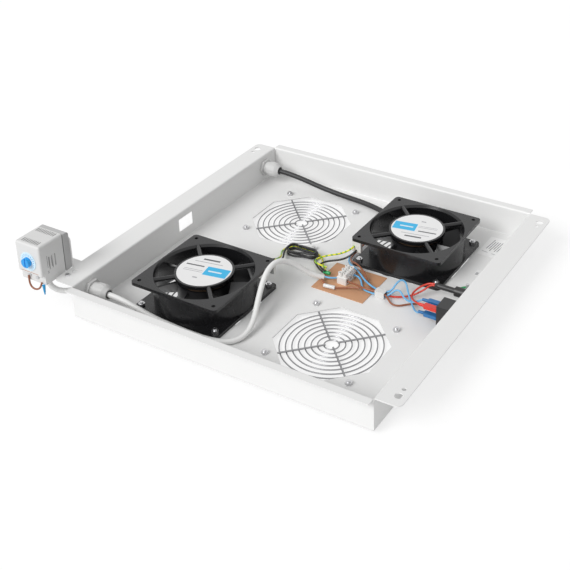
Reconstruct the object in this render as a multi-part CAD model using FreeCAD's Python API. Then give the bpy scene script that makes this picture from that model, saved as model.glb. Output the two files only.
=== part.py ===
"""Rack fan tray: a folded sheet-steel tray for four 120 mm fans, two of them fitted.

All lengths are millimetres.  The tray stands open side up on the heads of the
screws that hold its finger guards, so +Z is up and z = 0 is the floor.  Pieces
are laid out round the middle of the tray and moved to the part's own origin,
the bottom centre of its box, when they are written.
"""

import FreeCAD, Part
import math
import os

V = FreeCAD.Vector
X_AXIS, Y_AXIS, Z_AXIS = V(1, 0, 0), V(0, 1, 0), V(0, 0, 1)

# ---------------------------------------------------------------- tray sheet
SHEET = 1.2                 # steel sheet
TRAY_X = 390.0              # outside of the side walls
TRAY_Y = 408.0              # outside of the front and back walls
TRAY_H = 40.0               # underside of the plate to the top of the flanges
FLANGE = 28.0               # side flanges, outward from the side walls
LIP = 10.0                  # front and back lips, outward from their walls
BEND = 2.2                  # outside radius of every fold
WALL_END = 4.0              # rounded lower corners of the front and back walls
FLANGE_CORNER = 7.0
SLIT = 0.8                  # relief between a lip's end and the side flange
BOLT_HOLE = 9.0
SMALL_HOLE = 5.0
BOLT_IN = 18.5              # bolt holes, outward from the outside of a side wall
BOLT_Y = 188.0
SMALL_Y = 177.0
CUTOUT_Y, CUTOUT_Z = 28.0, 18.0     # snap-in cut-out in the left wall
CUTOUT_AT = -1.5
CUTOUT_UP = 13.0            # plate underside to the cut-out's lower edge
EARTH_HOLE = 4.2

# ------------------------------------------------------ fan places and guards
FAN_DX, FAN_DY = 171.0, 205.0       # between the fan centres
FAN_PITCH = 104.8           # screw holes of a 120 mm fan
OPENING = 122.0             # octagonal opening, across flats
SCREW = 4.0
SCREW_HOLE = 4.5
HEAD_D, HEAD_H, HEAD_EDGE = 7.6, 2.6, 0.8
NUT_AF, NUT_H = 7.0, 3.2
NUT_FIT = 0.05              # radial room of the nut on its thread
THREAD_OVER = 1.8           # screw end above its nut
GUARD_WIRE = 1.6
SPOKE_WIRE = 2.2
RING_SINK, SPOKE_IN_EYE = 0.5, 0.4     # welded depths
GUARD_RINGS = 8
RING_STEP = 7.0
RING_OUTER = 57.5           # middle of the outer ring's wire
EYE_OUTER = 4.6
EYE_HOLE = 4.6

# ----------------------------------------------------------------------- fan
FAN = 120.0
FAN_H = 38.0
FAN_FLANGE = 4.0
FAN_CORNER = 5.0
BARREL_R, BARREL_WALL = 59.7, 2.7
DUCT_FLARE = 1.6
HUB_R, HUB_PLATE = 34.8, 4.0
STRUT_R = 2.9
STRUT_IN, STRUT_SHORT = 2.0, 0.8      # into the motor plate, and short of the barrel's outside
BEARING_R, BEARING_W = 8.0, 5.0
POST_R, POST_WALL = 8.05, 2.2
ROTOR_R, ROTOR_WALL = 32.5, 2.6
ROTOR_Z, ROTOR_TOP = 3.0, 29.0
ROTOR_EDGE = 3.0
STATOR_R, STATOR_Z, STATOR_TOP = 27.0, 8.0, 26.0
POST_DROP = 1.5             # bearing post below the stator
SHAFT_R = 2.5
SHAFT_FIT = 0.03
SHAFT_IN = 0.5              # shaft's end inside the upper bearing
BLADES = 7
BLADE_T = 2.0
TIP_GAP = 1.6
BLADE_ROOT = 1.0            # blade into the cup's wall
ROOT_CHORD, TIP_CHORD, TIP_SWEEP = 15.0, 27.0, 9.0
BLADE_Z, BLADE_TOP = 4.5, 27.5
LABEL_R, STICKER = 32.2, 0.25
CLIP = (12.0, 4.4, 14.0)    # lead clip under the top flange, at one corner
CLIP_AT = (52.5, 57.2)

# ----------------------------------------------------------------- cable glands
GLAND_Y = 175.0
GLAND_UP = 22.0             # plate underside to a gland's axis
GLAND_HOLE = 16.2
THREAD_R = 8.0
GLAND_HEX, GLAND_COLLAR = 21.0, 4.5
GLAND_NECK_R, GLAND_NECK = 8.8, 5.0
DOME_R, DOME_L, DOME_NOSE_R = 9.6, 17.0, 6.4
DOME_STRAIGHT = 0.7         # share of the dome before its nose
SEAL_WALL = 1.4
GLAND_BORE = (20.0, 80.0)   # bores start this far outside the wall, and their length
SEAL_L = 9.0
LOCKNUT_AF, LOCKNUT_H = 21.0, 4.0
THREAD_OUT = 4.5
CABLE_D, WHITE_D = 7.0, 6.5
CABLE_FIT = 0.3

# ------------------------------------------------ switch, fuse, earth, terminals
SWITCH_AT = -17.0
SWITCH_Y, SWITCH_Z, SWITCH_DEEP = 21.0, 26.0, 18.5
SWITCH_UP = 19.5            # plate underside to the switch's middle
BEZEL, BEZEL_T = 1.6, 2.0
SWITCH_WALL = 1.6
ROCKER_Y, ROCKER_Z, ROCKER_TILT = 15.0, 19.0, 8.0
ROCKER_GAP = 0.6            # to the sides of its well
WELL_SHARE = 0.55           # of the switch's depth
ROCKER_EDGE, ROCKER_STAND = 0.8, 0.8
ROCKER_BACK, ROCKER_WAIST, ROCKER_DIP = 1.5, 0.6, 1.0
PIVOT_R = 1.5
PIVOT_FIT, PIVOT_END = 0.05, 0.3
PIVOT_IN, PIVOT_BOSS = 1.0, 2.6
TAB = (8.0, 4.8, 0.8)
TAB_Y, TAB_Z = 10.0, 10.0
SLEEVE = (17.0, 6.6, 4.4)
SLEEVE_CORNER, SLEEVE_GAP = 1.5, 0.4
TAB_ROOM = (0.6, 0.4, 0.4)
FUSE_AT, FUSE_UP = 27.0, 20.0
FUSE_R, FUSE_L, FUSE_HEAD_R, FUSE_HEAD_T = 6.0, 20.0, 8.0, 2.5
FUSE_NUT_AF, FUSE_NUT_T = 16.0, 3.0
FUSE_CAP_R, FUSE_CAP_L = 5.2, 5.0
FUSE_LINK_R, FUSE_LINK_GAP = 2.5, 0.3
FUSE_FIT, FUSE_END, FUSE_SEAT = 0.05, 3.0, 3.0
FUSE_BORE = 0.6             # bore smaller than the cap by this, as a radius
FUSE_SLOT = (2.4, 1.4)
SHRINK_R, SHRINK_L = 3.3, 26.0
SHRINK_NOSE = (2.31, 4.0)   # radius and length of its pulled-in end
EARTH_AT = (175.0, 58.0)
EARTH_STUD_L = 12.0
EARTH_HEAD = (4.0, 1.6)
EARTH_FIT = 0.1
EARTH_STICKER_R = 8.5
LABEL_AT, LABEL_SIZE = (167.0, 165.0), (34.0, 46.0)
PAD_AT, PAD_SIZE, PAD_T = (44.0, 7.0), (70.0, 60.0), 0.8
BLOCK_AT, BLOCK_SIZE = (38.0, 10.0), (13.0, 24.0, 14.0)
BLOCK_WAYS = 3
BLOCK_BORE, BLOCK_SCREW_R = 1.9, 1.6
BLOCK_BODY, BLOCK_CORNER = 0.62, 1.2    # share of the height below the towers
BLOCK_TOWER_R, BLOCK_BORE_UP = 2.7, 4.2
BLOCK_SCREW_L, BLOCK_SCREW_UP, BLOCK_SCREW_FIT = 5.0, 5.4, 0.1
SPLICE_AT, SPLICE_SIZE, SPLICE_BORE = (90.5, 0.55), (13.0, 9.6, 8.0), (8.4, 6.4)
SPLICE_CORNER = 1.5

# ----------------------------------------------------------------- thermostat
THERMO_X, THERMO_Y, THERMO_Z = 37.0, 35.5, 51.0
THERMO_GAP = 3.0            # flange edge to the thermostat's side
THERMO_UNDER = 3.8          # its lower face below the flange's top
THERMO_BACK = 180.5         # its back face, forward of the tray's middle
THERMO_R = 2.5
SLOT_W, SLOT_STEP, SLOT_DEEP = 1.3, 2.9, 3.0
SLOT_L = 7.0
FRONT_ROW, BACK_ROW = (7.5, 9), (5.0, 10)           # top slots: in from the edge, and how many
SIDE_SLOTS, SIDE_STEP, SIDE_AT = 3, 4.4, (13.0, 17.0)
SIDE_SLOT_L = 16.0
TERMINAL_STEP = (5.0, 13.0)         # terminal step: depth and height
TERMINAL_R, TERMINAL_T = 2.2, 1.2
TERMINAL_X, TERMINAL_UP = 6.0, 0.55
BASE_Y, BASE_GAP = 9.0, 1.2
BASE_PIN_R = 1.6
BASE_PIN_X, BASE_PIN_Z = 12.0, 8.0
BASE_EDGE, BASE_R = 1.5, 4.0
KNOB_R, KNOB_L, KNOB_FIT = 5.8, 4.8, 0.3
KNOB_UP = 0.56              # share of the housing's height
KNOB_SLOT = (1.4, 2.0)
STEM_R, STEM_GAP = 2.0, 0.05
DIAL_R, DIAL_T = 11.5, 0.7
BRACKET = 1.5
BRACKET_UP = 40.0
BRACKET_X = 30.0
FOOT, FOOT_OFF = (16.0, 32.0), (6.0, 7.5)   # under the flange, and its corner from the screw
ARM, ARM_GAP = (12.0, 14.0), 2.0
LEG_R = 4.0
BRACKET_HEAD = (3.2, 2.6, 1.8)
BRACKET_SCREW_AT = (20.5, 188.5)    # outward from the side wall, forward of the middle

# ----------------------------------------------------------------------- cords
CORD_SIDES = 6
WIRE_D, LEAD_D = 2.2, 2.4
COIL_AT, COIL_SIZE, COIL_HOLE = (-37.0, 30.0), (44.0, 18.0, 6.0), (34.0, 8.0)
FLOOR_GAP = 0.3             # what lies on a surface stays this far above it
HANK_LOW, HANK_LOW_X = (-231.5, 141.0), 63.0      # bottom layer: two turns side by side
HANK_TOP, HANK_TOP_X = (-224.5, 141.0), 49.0      # the layers above: one turn each
HANK_Y, HANK_LAYERS = 151.0, 2
PLUG_AT = (-133.0, 232.0)   # cord end of the plug
PLUG_L, PLUG_FACE, PLUG_TAIL = 40.0, (36.0, 14.0), (13.0, 10.0)
PIN_D, PIN_L, PIN_STEP = 4.0, 19.0, 9.5

# ------------------------------------------------------------------ worked out
HALF_X, HALF_Y = TRAY_X / 2, TRAY_Y / 2
PLATE_Z = HEAD_H + SPOKE_WIRE       # underside of the plate
PLATE_TOP = PLATE_Z + SHEET
RIM = PLATE_Z + TRAY_H              # top of the flanges
FLANGE_X = HALF_X + FLANGE
WALL_IN = HALF_X - SHEET
FAN_TOP = PLATE_TOP + FAN_H
DUCT_R = BARREL_R - BARREL_WALL
PLACES = [(sx * FAN_DX / 2, sy * FAN_DY / 2) for sx, sy in ((-1, -1), (1, 1), (1, -1), (-1, 1))]
FANS = {"front": (PLACES[0], 0.0), "back": (PLACES[1], 180.0)}
CORNERS = [(sx, sy) for sx in (-1, 1) for sy in (-1, 1)]
THERMO_RIGHT = -FLANGE_X - THERMO_GAP
THERMO_FLOOR = RIM - THERMO_UNDER
THERMO_FRONT = -THERMO_BACK - THERMO_Y
BASE_BACK = -THERMO_BACK + BASE_GAP + BASE_Y
FRONT_END = THERMO_FRONT - DIAL_T - KNOB_L
BACK_END = HALF_Y + LIP
ORIGIN = V((THERMO_RIGHT - THERMO_X + FLANGE_X) / 2, (FRONT_END + BACK_END) / 2, 0)


# --------------------------------------------------------------------- helpers
def block(size, low):
    """A box from its lowest corner."""
    return Part.makeBox(*size, V(*low))


def centred(size, at):
    """A box from the middle of its lower face."""
    return block(size, (at[0] - size[0] / 2, at[1] - size[1] / 2, at[2]))


def rod(radius, length, at, along=Z_AXIS):
    return Part.makeCylinder(radius, length, V(*at), along)


def prism(across_flats, height, at, along=Z_AXIS, sides=6):
    """A regular prism; for +Z two of its flats face +X and -X."""
    reach = across_flats / 2 / math.cos(math.pi / sides)
    angles = [(2 * i + 1) * math.pi / sides for i in range(sides + 1)]
    face = Part.Face(Part.makePolygon([V(reach * math.cos(a), reach * math.sin(a), 0) for a in angles]))
    solid = face.extrude(V(0, 0, height))
    solid.Placement = FreeCAD.Placement(V(*at), FreeCAD.Rotation(Z_AXIS, along))
    return solid


def revolved(profile, at=(0, 0, 0), along=Z_AXIS):
    """A turned piece from (radius, height) points."""
    points = [V(r, 0, z) for r, z in profile]
    solid = Part.Face(Part.makePolygon(points + points[:1])).revolve(V(0, 0, 0), Z_AXIS, 360)
    solid.Placement = FreeCAD.Placement(V(*at), FreeCAD.Rotation(Z_AXIS, along))
    return solid


def plate(width, depth, thick, corner, at):
    """A flat plate with rounded upright corners, from the middle of its lower face."""
    body = centred((width, depth, thick), at)
    return body.makeFillet(corner, [e for e in body.Edges if abs(e.BoundBox.ZLength - thick) < 1e-6])


def fillet_along(body, radius, axis, keep):
    """Rounds the straight edges along one axis whose middle passes the test."""
    chosen = []
    for edge in body.Edges:
        line = edge.Vertexes[-1].Point - edge.Vertexes[0].Point
        if line.Length > 1e-6 and line.getAngle(axis) % math.pi < 1e-6 and keep(edge.CenterOfMass):
            chosen.append(edge)
    return body.makeFillet(radius, chosen)


def joined(pieces):
    return pieces[0].multiFuse(pieces[1:]) if len(pieces) > 1 else pieces[0]


def cut(body, tools):
    return body.cut(Part.makeCompound(tools))


def save(name, *solids):
    """Writes one node, moved to the part's origin."""
    shape = solids[0] if len(solids) == 1 else Part.makeCompound(solids)
    shape = shape.copy()
    shape.translate(-ORIGIN)
    shape.exportStep("parts/" + name + ".step")


def route_tube(points, diameter):
    """A cord along straight runs joined by tangent arcs, as one plain solid."""
    points = [V(*p) for p in points]
    runs = [after - before for before, after in zip(points, points[1:])]
    heading = V(runs[0]).normalize()
    side = heading.cross(Z_AXIS if abs(heading.z) < 0.9 else X_AXIS).normalize()
    other = heading.cross(side)
    angles = [2 * math.pi * i / CORD_SIDES for i in range(CORD_SIDES + 1)]
    ring = [points[0] + (side * math.cos(a) + other * math.sin(a)) * (diameter / 2) for a in angles]
    face = Part.Face(Part.makePolygon(ring))
    pieces, radii, length, start = [], [], 0.0, points[0]
    for corner, before, after in zip(points[1:-1], runs, runs[1:]):
        a, b = V(before).normalize(), V(after).normalize()
        turn = a.getAngle(b)
        trim = 0.45 * min(before.Length, after.Length)
        radius = trim / math.tan(turn / 2)
        step = corner - a * trim - start
        pieces.append(face.extrude(step))
        face = face.translated(step)
        axis = a.cross(b).normalize()
        centre = corner - a * trim + axis.cross(a) * radius
        pieces.append(face.revolve(centre, axis, math.degrees(turn)))
        face = face.rotated(centre, axis, math.degrees(turn))
        start = corner + b * trim
        radii.append(radius)
        length += step.Length + radius * turn
    step = points[-1] - start
    pieces.append(face.extrude(step))
    length += step.Length
    tube = joined(pieces)
    print("  tightest %.1f mm, length %.0f mm, volume over section x length %.4f"
          % (min(radii), length, tube.Volume / (face.Area * length)))
    return tube


# ------------------------------------------------------------------------ tray
def folded_channel(width, wall_top, turn_out, length):
    """A channel along +Y: base, two walls and two outward flanges, folded from one sheet."""
    half = width / 2
    reach = half + turn_out
    t = SHEET
    outline = [
        (-reach, wall_top), (-half + t, wall_top), (-half + t, t), (half - t, t), (half - t, wall_top),
        (reach, wall_top), (reach, wall_top - t), (half, wall_top - t), (half, 0), (-half, 0),
        (-half, wall_top - t), (-reach, wall_top - t)]
    points = [V(x, 0, z) for x, z in outline]
    body = Part.Face(Part.makePolygon(points + points[:1])).extrude(V(0, length, 0))
    inside = BEND - SHEET
    sharp = {(half - t, t): inside, (half, 0): BEND, (half - t, wall_top): BEND, (half, wall_top - t): inside}
    for (x, z), radius in sharp.items():
        body = fillet_along(body, radius, Y_AXIS,
                            lambda c, x=x, z=z: abs(abs(c.x) - x) < 1e-3 and abs(c.z - z) < 1e-3)
    return body


def tray_pan():
    """The folded tray: plate, walls, flanges, lips and every punched hole."""
    side_length = TRAY_Y - 2 * SHEET
    sides = folded_channel(TRAY_X, TRAY_H, FLANGE, side_length)
    sides.translate(V(0, -side_length / 2, PLATE_Z))
    ends = folded_channel(TRAY_Y, TRAY_H, LIP, TRAY_X)
    ends.rotate(V(0, 0, 0), Z_AXIS, -90)
    ends.translate(V(-HALF_X, 0, PLATE_Z))
    envelope = block((TRAY_X, 2 * BACK_END, TRAY_H), (-HALF_X, -BACK_END, PLATE_Z))
    envelope = fillet_along(envelope, WALL_END, Y_AXIS, lambda c: c.z < PLATE_Z + 1)
    pan = sides.fuse(ends.common(envelope))
    holes = []
    for sx in (-1, 1):
        for sy in (-1, 1):
            holes.append(centred((2 * SLIT, LIP, 2 * BEND), (sx * HALF_X, sy * (HALF_Y + LIP / 2), RIM - BEND)))
            bolt, small = BOLT_Y, SMALL_Y
            if (sx, sy) == (-1, -1):
                bolt, small = SMALL_Y, BRACKET_SCREW_AT[1]
            small_x = HALF_X + (BRACKET_SCREW_AT[0] if small != SMALL_Y else BOLT_IN)
            holes.append(rod(BOLT_HOLE / 2, 3 * SHEET, (sx * (HALF_X + BOLT_IN), sy * bolt, RIM - 2 * SHEET)))
            holes.append(rod(SMALL_HOLE / 2, 3 * SHEET, (sx * small_x, sy * small, RIM - 2 * SHEET)))
    for x, y in PLACES:
        holes.append(prism(OPENING, 3 * SHEET, (x, y, PLATE_Z - SHEET), sides=8))
        for sx, sy in CORNERS:
            at = (x + sx * FAN_PITCH / 2, y + sy * FAN_PITCH / 2, PLATE_Z - SHEET)
            holes.append(rod(SCREW_HOLE / 2, 3 * SHEET, at))
    for sy in (-1, 1):
        at = (-HALF_X - SHEET, sy * GLAND_Y, PLATE_Z + GLAND_UP)
        holes.append(rod(GLAND_HOLE / 2, 3 * SHEET, at, X_AXIS))
    low = (-HALF_X - SHEET, CUTOUT_AT - CUTOUT_Y / 2, PLATE_Z + CUTOUT_UP)
    holes.append(block((3 * SHEET, CUTOUT_Y, CUTOUT_Z), low))
    size = (3 * SHEET, SWITCH_Y, SWITCH_Z)
    low = (WALL_IN - SHEET, SWITCH_AT - SWITCH_Y / 2, PLATE_Z + SWITCH_UP - SWITCH_Z / 2)
    holes.append(block(size, low))
    holes.append(rod(FUSE_R, 3 * SHEET, (WALL_IN - SHEET, FUSE_AT, PLATE_Z + FUSE_UP), X_AXIS))
    holes.append(rod(EARTH_HOLE / 2, 3 * SHEET, (*EARTH_AT, PLATE_Z - SHEET)))
    pan = cut(pan, holes)
    return fillet_along(pan, FLANGE_CORNER, Z_AXIS,
                        lambda c: abs(abs(c.x) - FLANGE_X) < 1e-3 and abs(c.z - RIM + SHEET / 2) < 1e-3)


# -------------------------------------------------------- guards and fasteners
def finger_guard(x, y):
    """A welded wire guard: rings below the plate on four spokes that end in eyes."""
    pieces = []
    spoke_z = HEAD_H + SPOKE_WIRE / 2
    ring_z = spoke_z - SPOKE_WIRE / 2 - GUARD_WIRE / 2 + RING_SINK
    w = GUARD_WIRE / 2
    for i in range(GUARD_RINGS):
        r = RING_OUTER - i * RING_STEP
        pieces.append(revolved([(r - w, ring_z), (r, ring_z - w), (r + w, ring_z), (r, ring_z + w)]))
    reach = FAN_PITCH / math.sqrt(2)
    inner = RING_OUTER - (GUARD_RINGS - 1) * RING_STEP - GUARD_WIRE
    for sx, sy in CORNERS:
        way = V(sx, sy, 0).normalize()
        start = way * inner + V(0, 0, spoke_z)
        pieces.append(rod(SPOKE_WIRE / 2, reach - EYE_OUTER + SPOKE_IN_EYE - inner, tuple(start), way))
        eye = rod(EYE_OUTER, SPOKE_WIRE, (sx * FAN_PITCH / 2, sy * FAN_PITCH / 2, HEAD_H))
        pieces.append(eye)
    guard = joined(pieces)
    holes = [rod(EYE_HOLE / 2, 3 * SPOKE_WIRE, (sx * FAN_PITCH / 2, sy * FAN_PITCH / 2, HEAD_H - SPOKE_WIRE))
             for sx, sy in CORNERS]
    guard = cut(guard, holes)
    guard.translate(V(x, y, 0))
    return guard


def screw_and_nut(x, y, seat):
    """A guard screw from below and its nut on the surface at height seat."""
    top = seat + NUT_H + THREAD_OVER
    screw = revolved([(0, 0), (HEAD_D / 2 - HEAD_EDGE, 0), (HEAD_D / 2, HEAD_EDGE), (HEAD_D / 2, HEAD_H),
                      (SCREW / 2, HEAD_H), (SCREW / 2, top), (0, top)], (x, y, 0))
    nut = prism(NUT_AF, NUT_H, (x, y, seat)).cut(rod(SCREW / 2 + NUT_FIT, NUT_H, (x, y, seat)))
    return screw, nut


# ------------------------------------------------------------------------- fan
def fan_frame():
    """The die-cast frame's spool: two square flanges round the barrel."""
    parts = [plate(FAN, FAN, FAN_FLANGE, FAN_CORNER, (0, 0, z)) for z in (0, FAN_H - FAN_FLANGE)]
    parts.append(rod(BARREL_R, FAN_H, (0, 0, 0)))
    frame = joined(parts)
    flare = [(0, 0), (DUCT_R + DUCT_FLARE, 0), (DUCT_R, 2 * DUCT_FLARE), (DUCT_R, FAN_H - 2 * DUCT_FLARE),
             (DUCT_R + DUCT_FLARE, FAN_H), (0, FAN_H)]
    tools = [revolved(flare)]
    for sx, sy in CORNERS:
        tools.append(rod(SCREW_HOLE / 2, FAN_H, (sx * FAN_PITCH / 2, sy * FAN_PITCH / 2, 0)))
    return cut(frame, tools)


def fan_spider(frame):
    """The rest of the casting: motor plate, bearing post and the four struts that reach the spool."""
    post_low = STATOR_Z - POST_DROP
    plate_z = FAN_H - HUB_PLATE
    hub = revolved([(BEARING_R, post_low), (POST_R + POST_WALL, post_low), (POST_R + POST_WALL, plate_z),
                    (HUB_R, plate_z), (HUB_R, FAN_H), (0, FAN_H), (0, plate_z), (BEARING_R, plate_z)])
    struts = []
    for sx, sy in CORNERS:
        way = V(sx, sy, 0).normalize()
        start = way * (HUB_R - STRUT_IN) + V(0, 0, FAN_H - STRUT_R)
        struts.append(rod(STRUT_R, BARREL_R - STRUT_SHORT - HUB_R + STRUT_IN, tuple(start), way))
    return joined([hub] + struts).cut(frame)


def impeller():
    """The rotor cup with its swept blades, open towards the motor plate."""
    cup = revolved([(SHAFT_R, ROTOR_Z), (ROTOR_R - ROTOR_EDGE, ROTOR_Z), (ROTOR_R, ROTOR_Z + ROTOR_EDGE), (ROTOR_R, ROTOR_TOP),
                    (ROTOR_R - ROTOR_WALL, ROTOR_TOP), (ROTOR_R - ROTOR_WALL, ROTOR_Z + ROTOR_WALL),
                    (SHAFT_R, ROTOR_Z + ROTOR_WALL)])
    tip = DUCT_R - TIP_GAP
    pieces = [cup]
    for i in range(BLADES):
        pieces.append(blade(ROTOR_R - BLADE_ROOT, tip).rotated(V(0, 0, 0), Z_AXIS, i * 360 / BLADES))
    return joined(pieces)


def blade(root, tip):
    """One blade: a leaning strip at the hub lofted to a flatter, swept one at the tip."""
    sections = []
    for radius, reach, sweep in ((root, ROOT_CHORD, 0.0), (tip, TIP_CHORD, TIP_SWEEP)):
        low, top = V(radius, -reach / 2 + sweep, BLADE_Z), V(radius, reach / 2 + sweep, BLADE_TOP)
        across = V(0, top.z - low.z, low.y - top.y).normalize() * BLADE_T
        sections.append(Part.makePolygon([low, top, top + across, low + across, low]))
    wide = Part.makeLoft(sections, True, True)
    return wide.common(rod(tip, FAN_H, (0, 0, 0)))


def bearing(z):
    body = rod(BEARING_R, BEARING_W, (0, 0, z))
    return body.cut(rod(SHAFT_R + SHAFT_FIT, BEARING_W, (0, 0, z)))


def placed(shape, name):
    (x, y), turn = FANS[name]
    shape = shape.copy()
    shape.rotate(V(0, 0, 0), Z_AXIS, turn)
    shape.translate(V(x, y, PLATE_TOP))
    return shape


def write_fans():
    frame, rotor = fan_frame(), impeller()
    spider = fan_spider(frame)
    bearings_z = (STATOR_Z - POST_DROP, FAN_H - HUB_PLATE - BEARING_W)
    shaft = rod(SHAFT_R, bearings_z[1] + BEARING_W - ROTOR_Z - SHAFT_IN, (0, 0, ROTOR_Z))
    stator_post = rod(POST_R + POST_WALL, FAN_H, (0, 0, 0))
    stator = rod(STATOR_R, STATOR_TOP - STATOR_Z, (0, 0, STATOR_Z)).cut(stator_post)
    sticker = rod(LABEL_R, STICKER, (0, 0, FAN_H))
    clip = centred(CLIP, (*CLIP_AT, FAN_H - FAN_FLANGE - CLIP[2]))
    for name in FANS:
        save("fan_frame_" + name, placed(frame, name))
        save("fan_spider_" + name, placed(spider, name))
        save("impeller_" + name, placed(rotor, name))
        save("fan_shaft_" + name, placed(shaft, name))
    save("fan_bearings", *[placed(bearing(z), n) for n in FANS for z in bearings_z])
    save("fan_stators", *[placed(stator, n) for n in FANS])
    save("fan_labels", *[placed(sticker, n) for n in FANS])
    save("fan_lead_clips", *[placed(clip, n) for n in FANS])


# ---------------------------------------------------------------------- glands
def write_glands():
    """Two cable glands through the left wall, their clamping nuts inside the tray."""
    bodies, domes, seals, locknuts = [], [], [], []
    for sy, cable in ((1, CABLE_D), (-1, WHITE_D)):
        y, z = sy * GLAND_Y, PLATE_Z + GLAND_UP
        bore = cable / 2 + CABLE_FIT
        seat = -WALL_IN
        bore_at = (seat - GLAND_BORE[0], y, z)
        tube = rod(bore + SEAL_WALL, GLAND_BORE[1], bore_at, X_AXIS)
        body = joined([prism(GLAND_HEX, GLAND_COLLAR, (seat, y, z), X_AXIS),
                       rod(GLAND_NECK_R, GLAND_NECK, (seat + GLAND_COLLAR, y, z), X_AXIS),
                       rod(THREAD_R, THREAD_OUT + SHEET, (seat - SHEET - THREAD_OUT, y, z), X_AXIS)])
        bodies.append(body.cut(tube))
        dome_at = (seat + GLAND_COLLAR + GLAND_NECK, y, z)
        dome = revolved([(0, 0), (DOME_R, 0), (DOME_R, DOME_L * DOME_STRAIGHT), (DOME_NOSE_R, DOME_L), (0, DOME_L)],
                        dome_at, X_AXIS)
        domes.append(dome.cut(tube))
        sleeve = rod(bore + SEAL_WALL, SEAL_L, (dome_at[0] + DOME_L - SEAL_L, y, z), X_AXIS)
        seals.append(sleeve.cut(rod(bore, GLAND_BORE[1], bore_at, X_AXIS)))
        nut_at = (-HALF_X - LOCKNUT_H, y, z)
        nut = prism(LOCKNUT_AF, LOCKNUT_H, nut_at, X_AXIS)
        locknuts.append(nut.cut(rod(THREAD_R + NUT_FIT, LOCKNUT_H, nut_at, X_AXIS)))
    save("gland_bodies", *bodies)
    save("gland_domes", *domes)
    save("gland_seals", *seals)
    save("gland_locknuts", *locknuts)


# ------------------------------------------------------- switch and fuse holder
def write_switch():
    """A rocker switch snapped into the right wall, with push-on connectors inside."""
    z = PLATE_Z + SWITCH_UP
    body = centred((SWITCH_DEEP + SHEET, SWITCH_Y, SWITCH_Z),
                   (HALF_X - (SWITCH_DEEP + SHEET) / 2, SWITCH_AT, z - SWITCH_Z / 2))
    bezel = centred((BEZEL_T, SWITCH_Y + 2 * BEZEL, SWITCH_Z + 2 * BEZEL),
                    (HALF_X + BEZEL_T / 2, SWITCH_AT, z - SWITCH_Z / 2 - BEZEL))
    well_x = SWITCH_DEEP * WELL_SHARE
    well = centred((well_x + BEZEL_T, ROCKER_Y + 2 * ROCKER_GAP, ROCKER_Z + 2 * ROCKER_GAP),
                   (HALF_X + BEZEL_T - (well_x + BEZEL_T) / 2, SWITCH_AT, z - ROCKER_Z / 2 - ROCKER_GAP))
    pivot_x = HALF_X - PIVOT_IN
    pin = rod(PIVOT_R, SWITCH_Y - 2 * SWITCH_WALL, (pivot_x, SWITCH_AT - SWITCH_Y / 2 + SWITCH_WALL, z), Y_AXIS)
    pin_hole = rod(PIVOT_R + PIVOT_FIT, SWITCH_Y - 2 * SWITCH_WALL + 2 * PIVOT_END,
                   (pivot_x, SWITCH_AT - SWITCH_Y / 2 + SWITCH_WALL - PIVOT_END, z), Y_AXIS)
    save("switch_body", cut(joined([body, bezel]), [well, pin_hole]))
    lean = math.radians(ROCKER_TILT)
    face_x = HALF_X + BEZEL_T
    half = ROCKER_Z / 2 - ROCKER_EDGE
    rise = half * math.tan(lean)
    high = face_x + ROCKER_STAND + rise
    profile = [(pivot_x - PIVOT_BOSS, z - PIVOT_BOSS), (pivot_x - PIVOT_BOSS, z + PIVOT_BOSS),
               (face_x - ROCKER_BACK, z + half), (high - 2 * rise + ROCKER_DIP, z + half),
               (face_x + ROCKER_WAIST, z), (high, z - half), (face_x - ROCKER_BACK, z - half)]
    points = [V(x, 0, h) for x, h in profile]
    rocker = Part.Face(Part.makePolygon(points + points[:1])).extrude(V(0, ROCKER_Y, 0))
    rocker.translate(V(0, SWITCH_AT - ROCKER_Y / 2, 0))
    save("switch_rocker", joined([rocker, pin]))
    back = HALF_X - SHEET - SWITCH_DEEP
    tabs, blue, red = [], [], []
    for dy in (-TAB_Y / 2, TAB_Y / 2):
        for dz in (-TAB_Z / 2, TAB_Z / 2):
            at = (back - TAB[0] / 2, SWITCH_AT + dy, z + dz - TAB[2] / 2)
            tabs.append(centred(TAB, at))
            if dy > 0 > dz:
                continue
            sleeve = plate(*SLEEVE, SLEEVE_CORNER,
                           (back - SLEEVE_GAP - SLEEVE[0] / 2, SWITCH_AT + dy, z + dz - SLEEVE[2] / 2))
            slot = centred([a + b for a, b in zip(TAB, TAB_ROOM)], (at[0], at[1], at[2] - TAB_ROOM[2] / 2))
            (red if dy < 0 < dz else blue).append(sleeve.cut(slot))
    save("switch_tabs", *tabs)
    save("connectors_blue", *blue)
    save("connector_red", *red)


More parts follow.
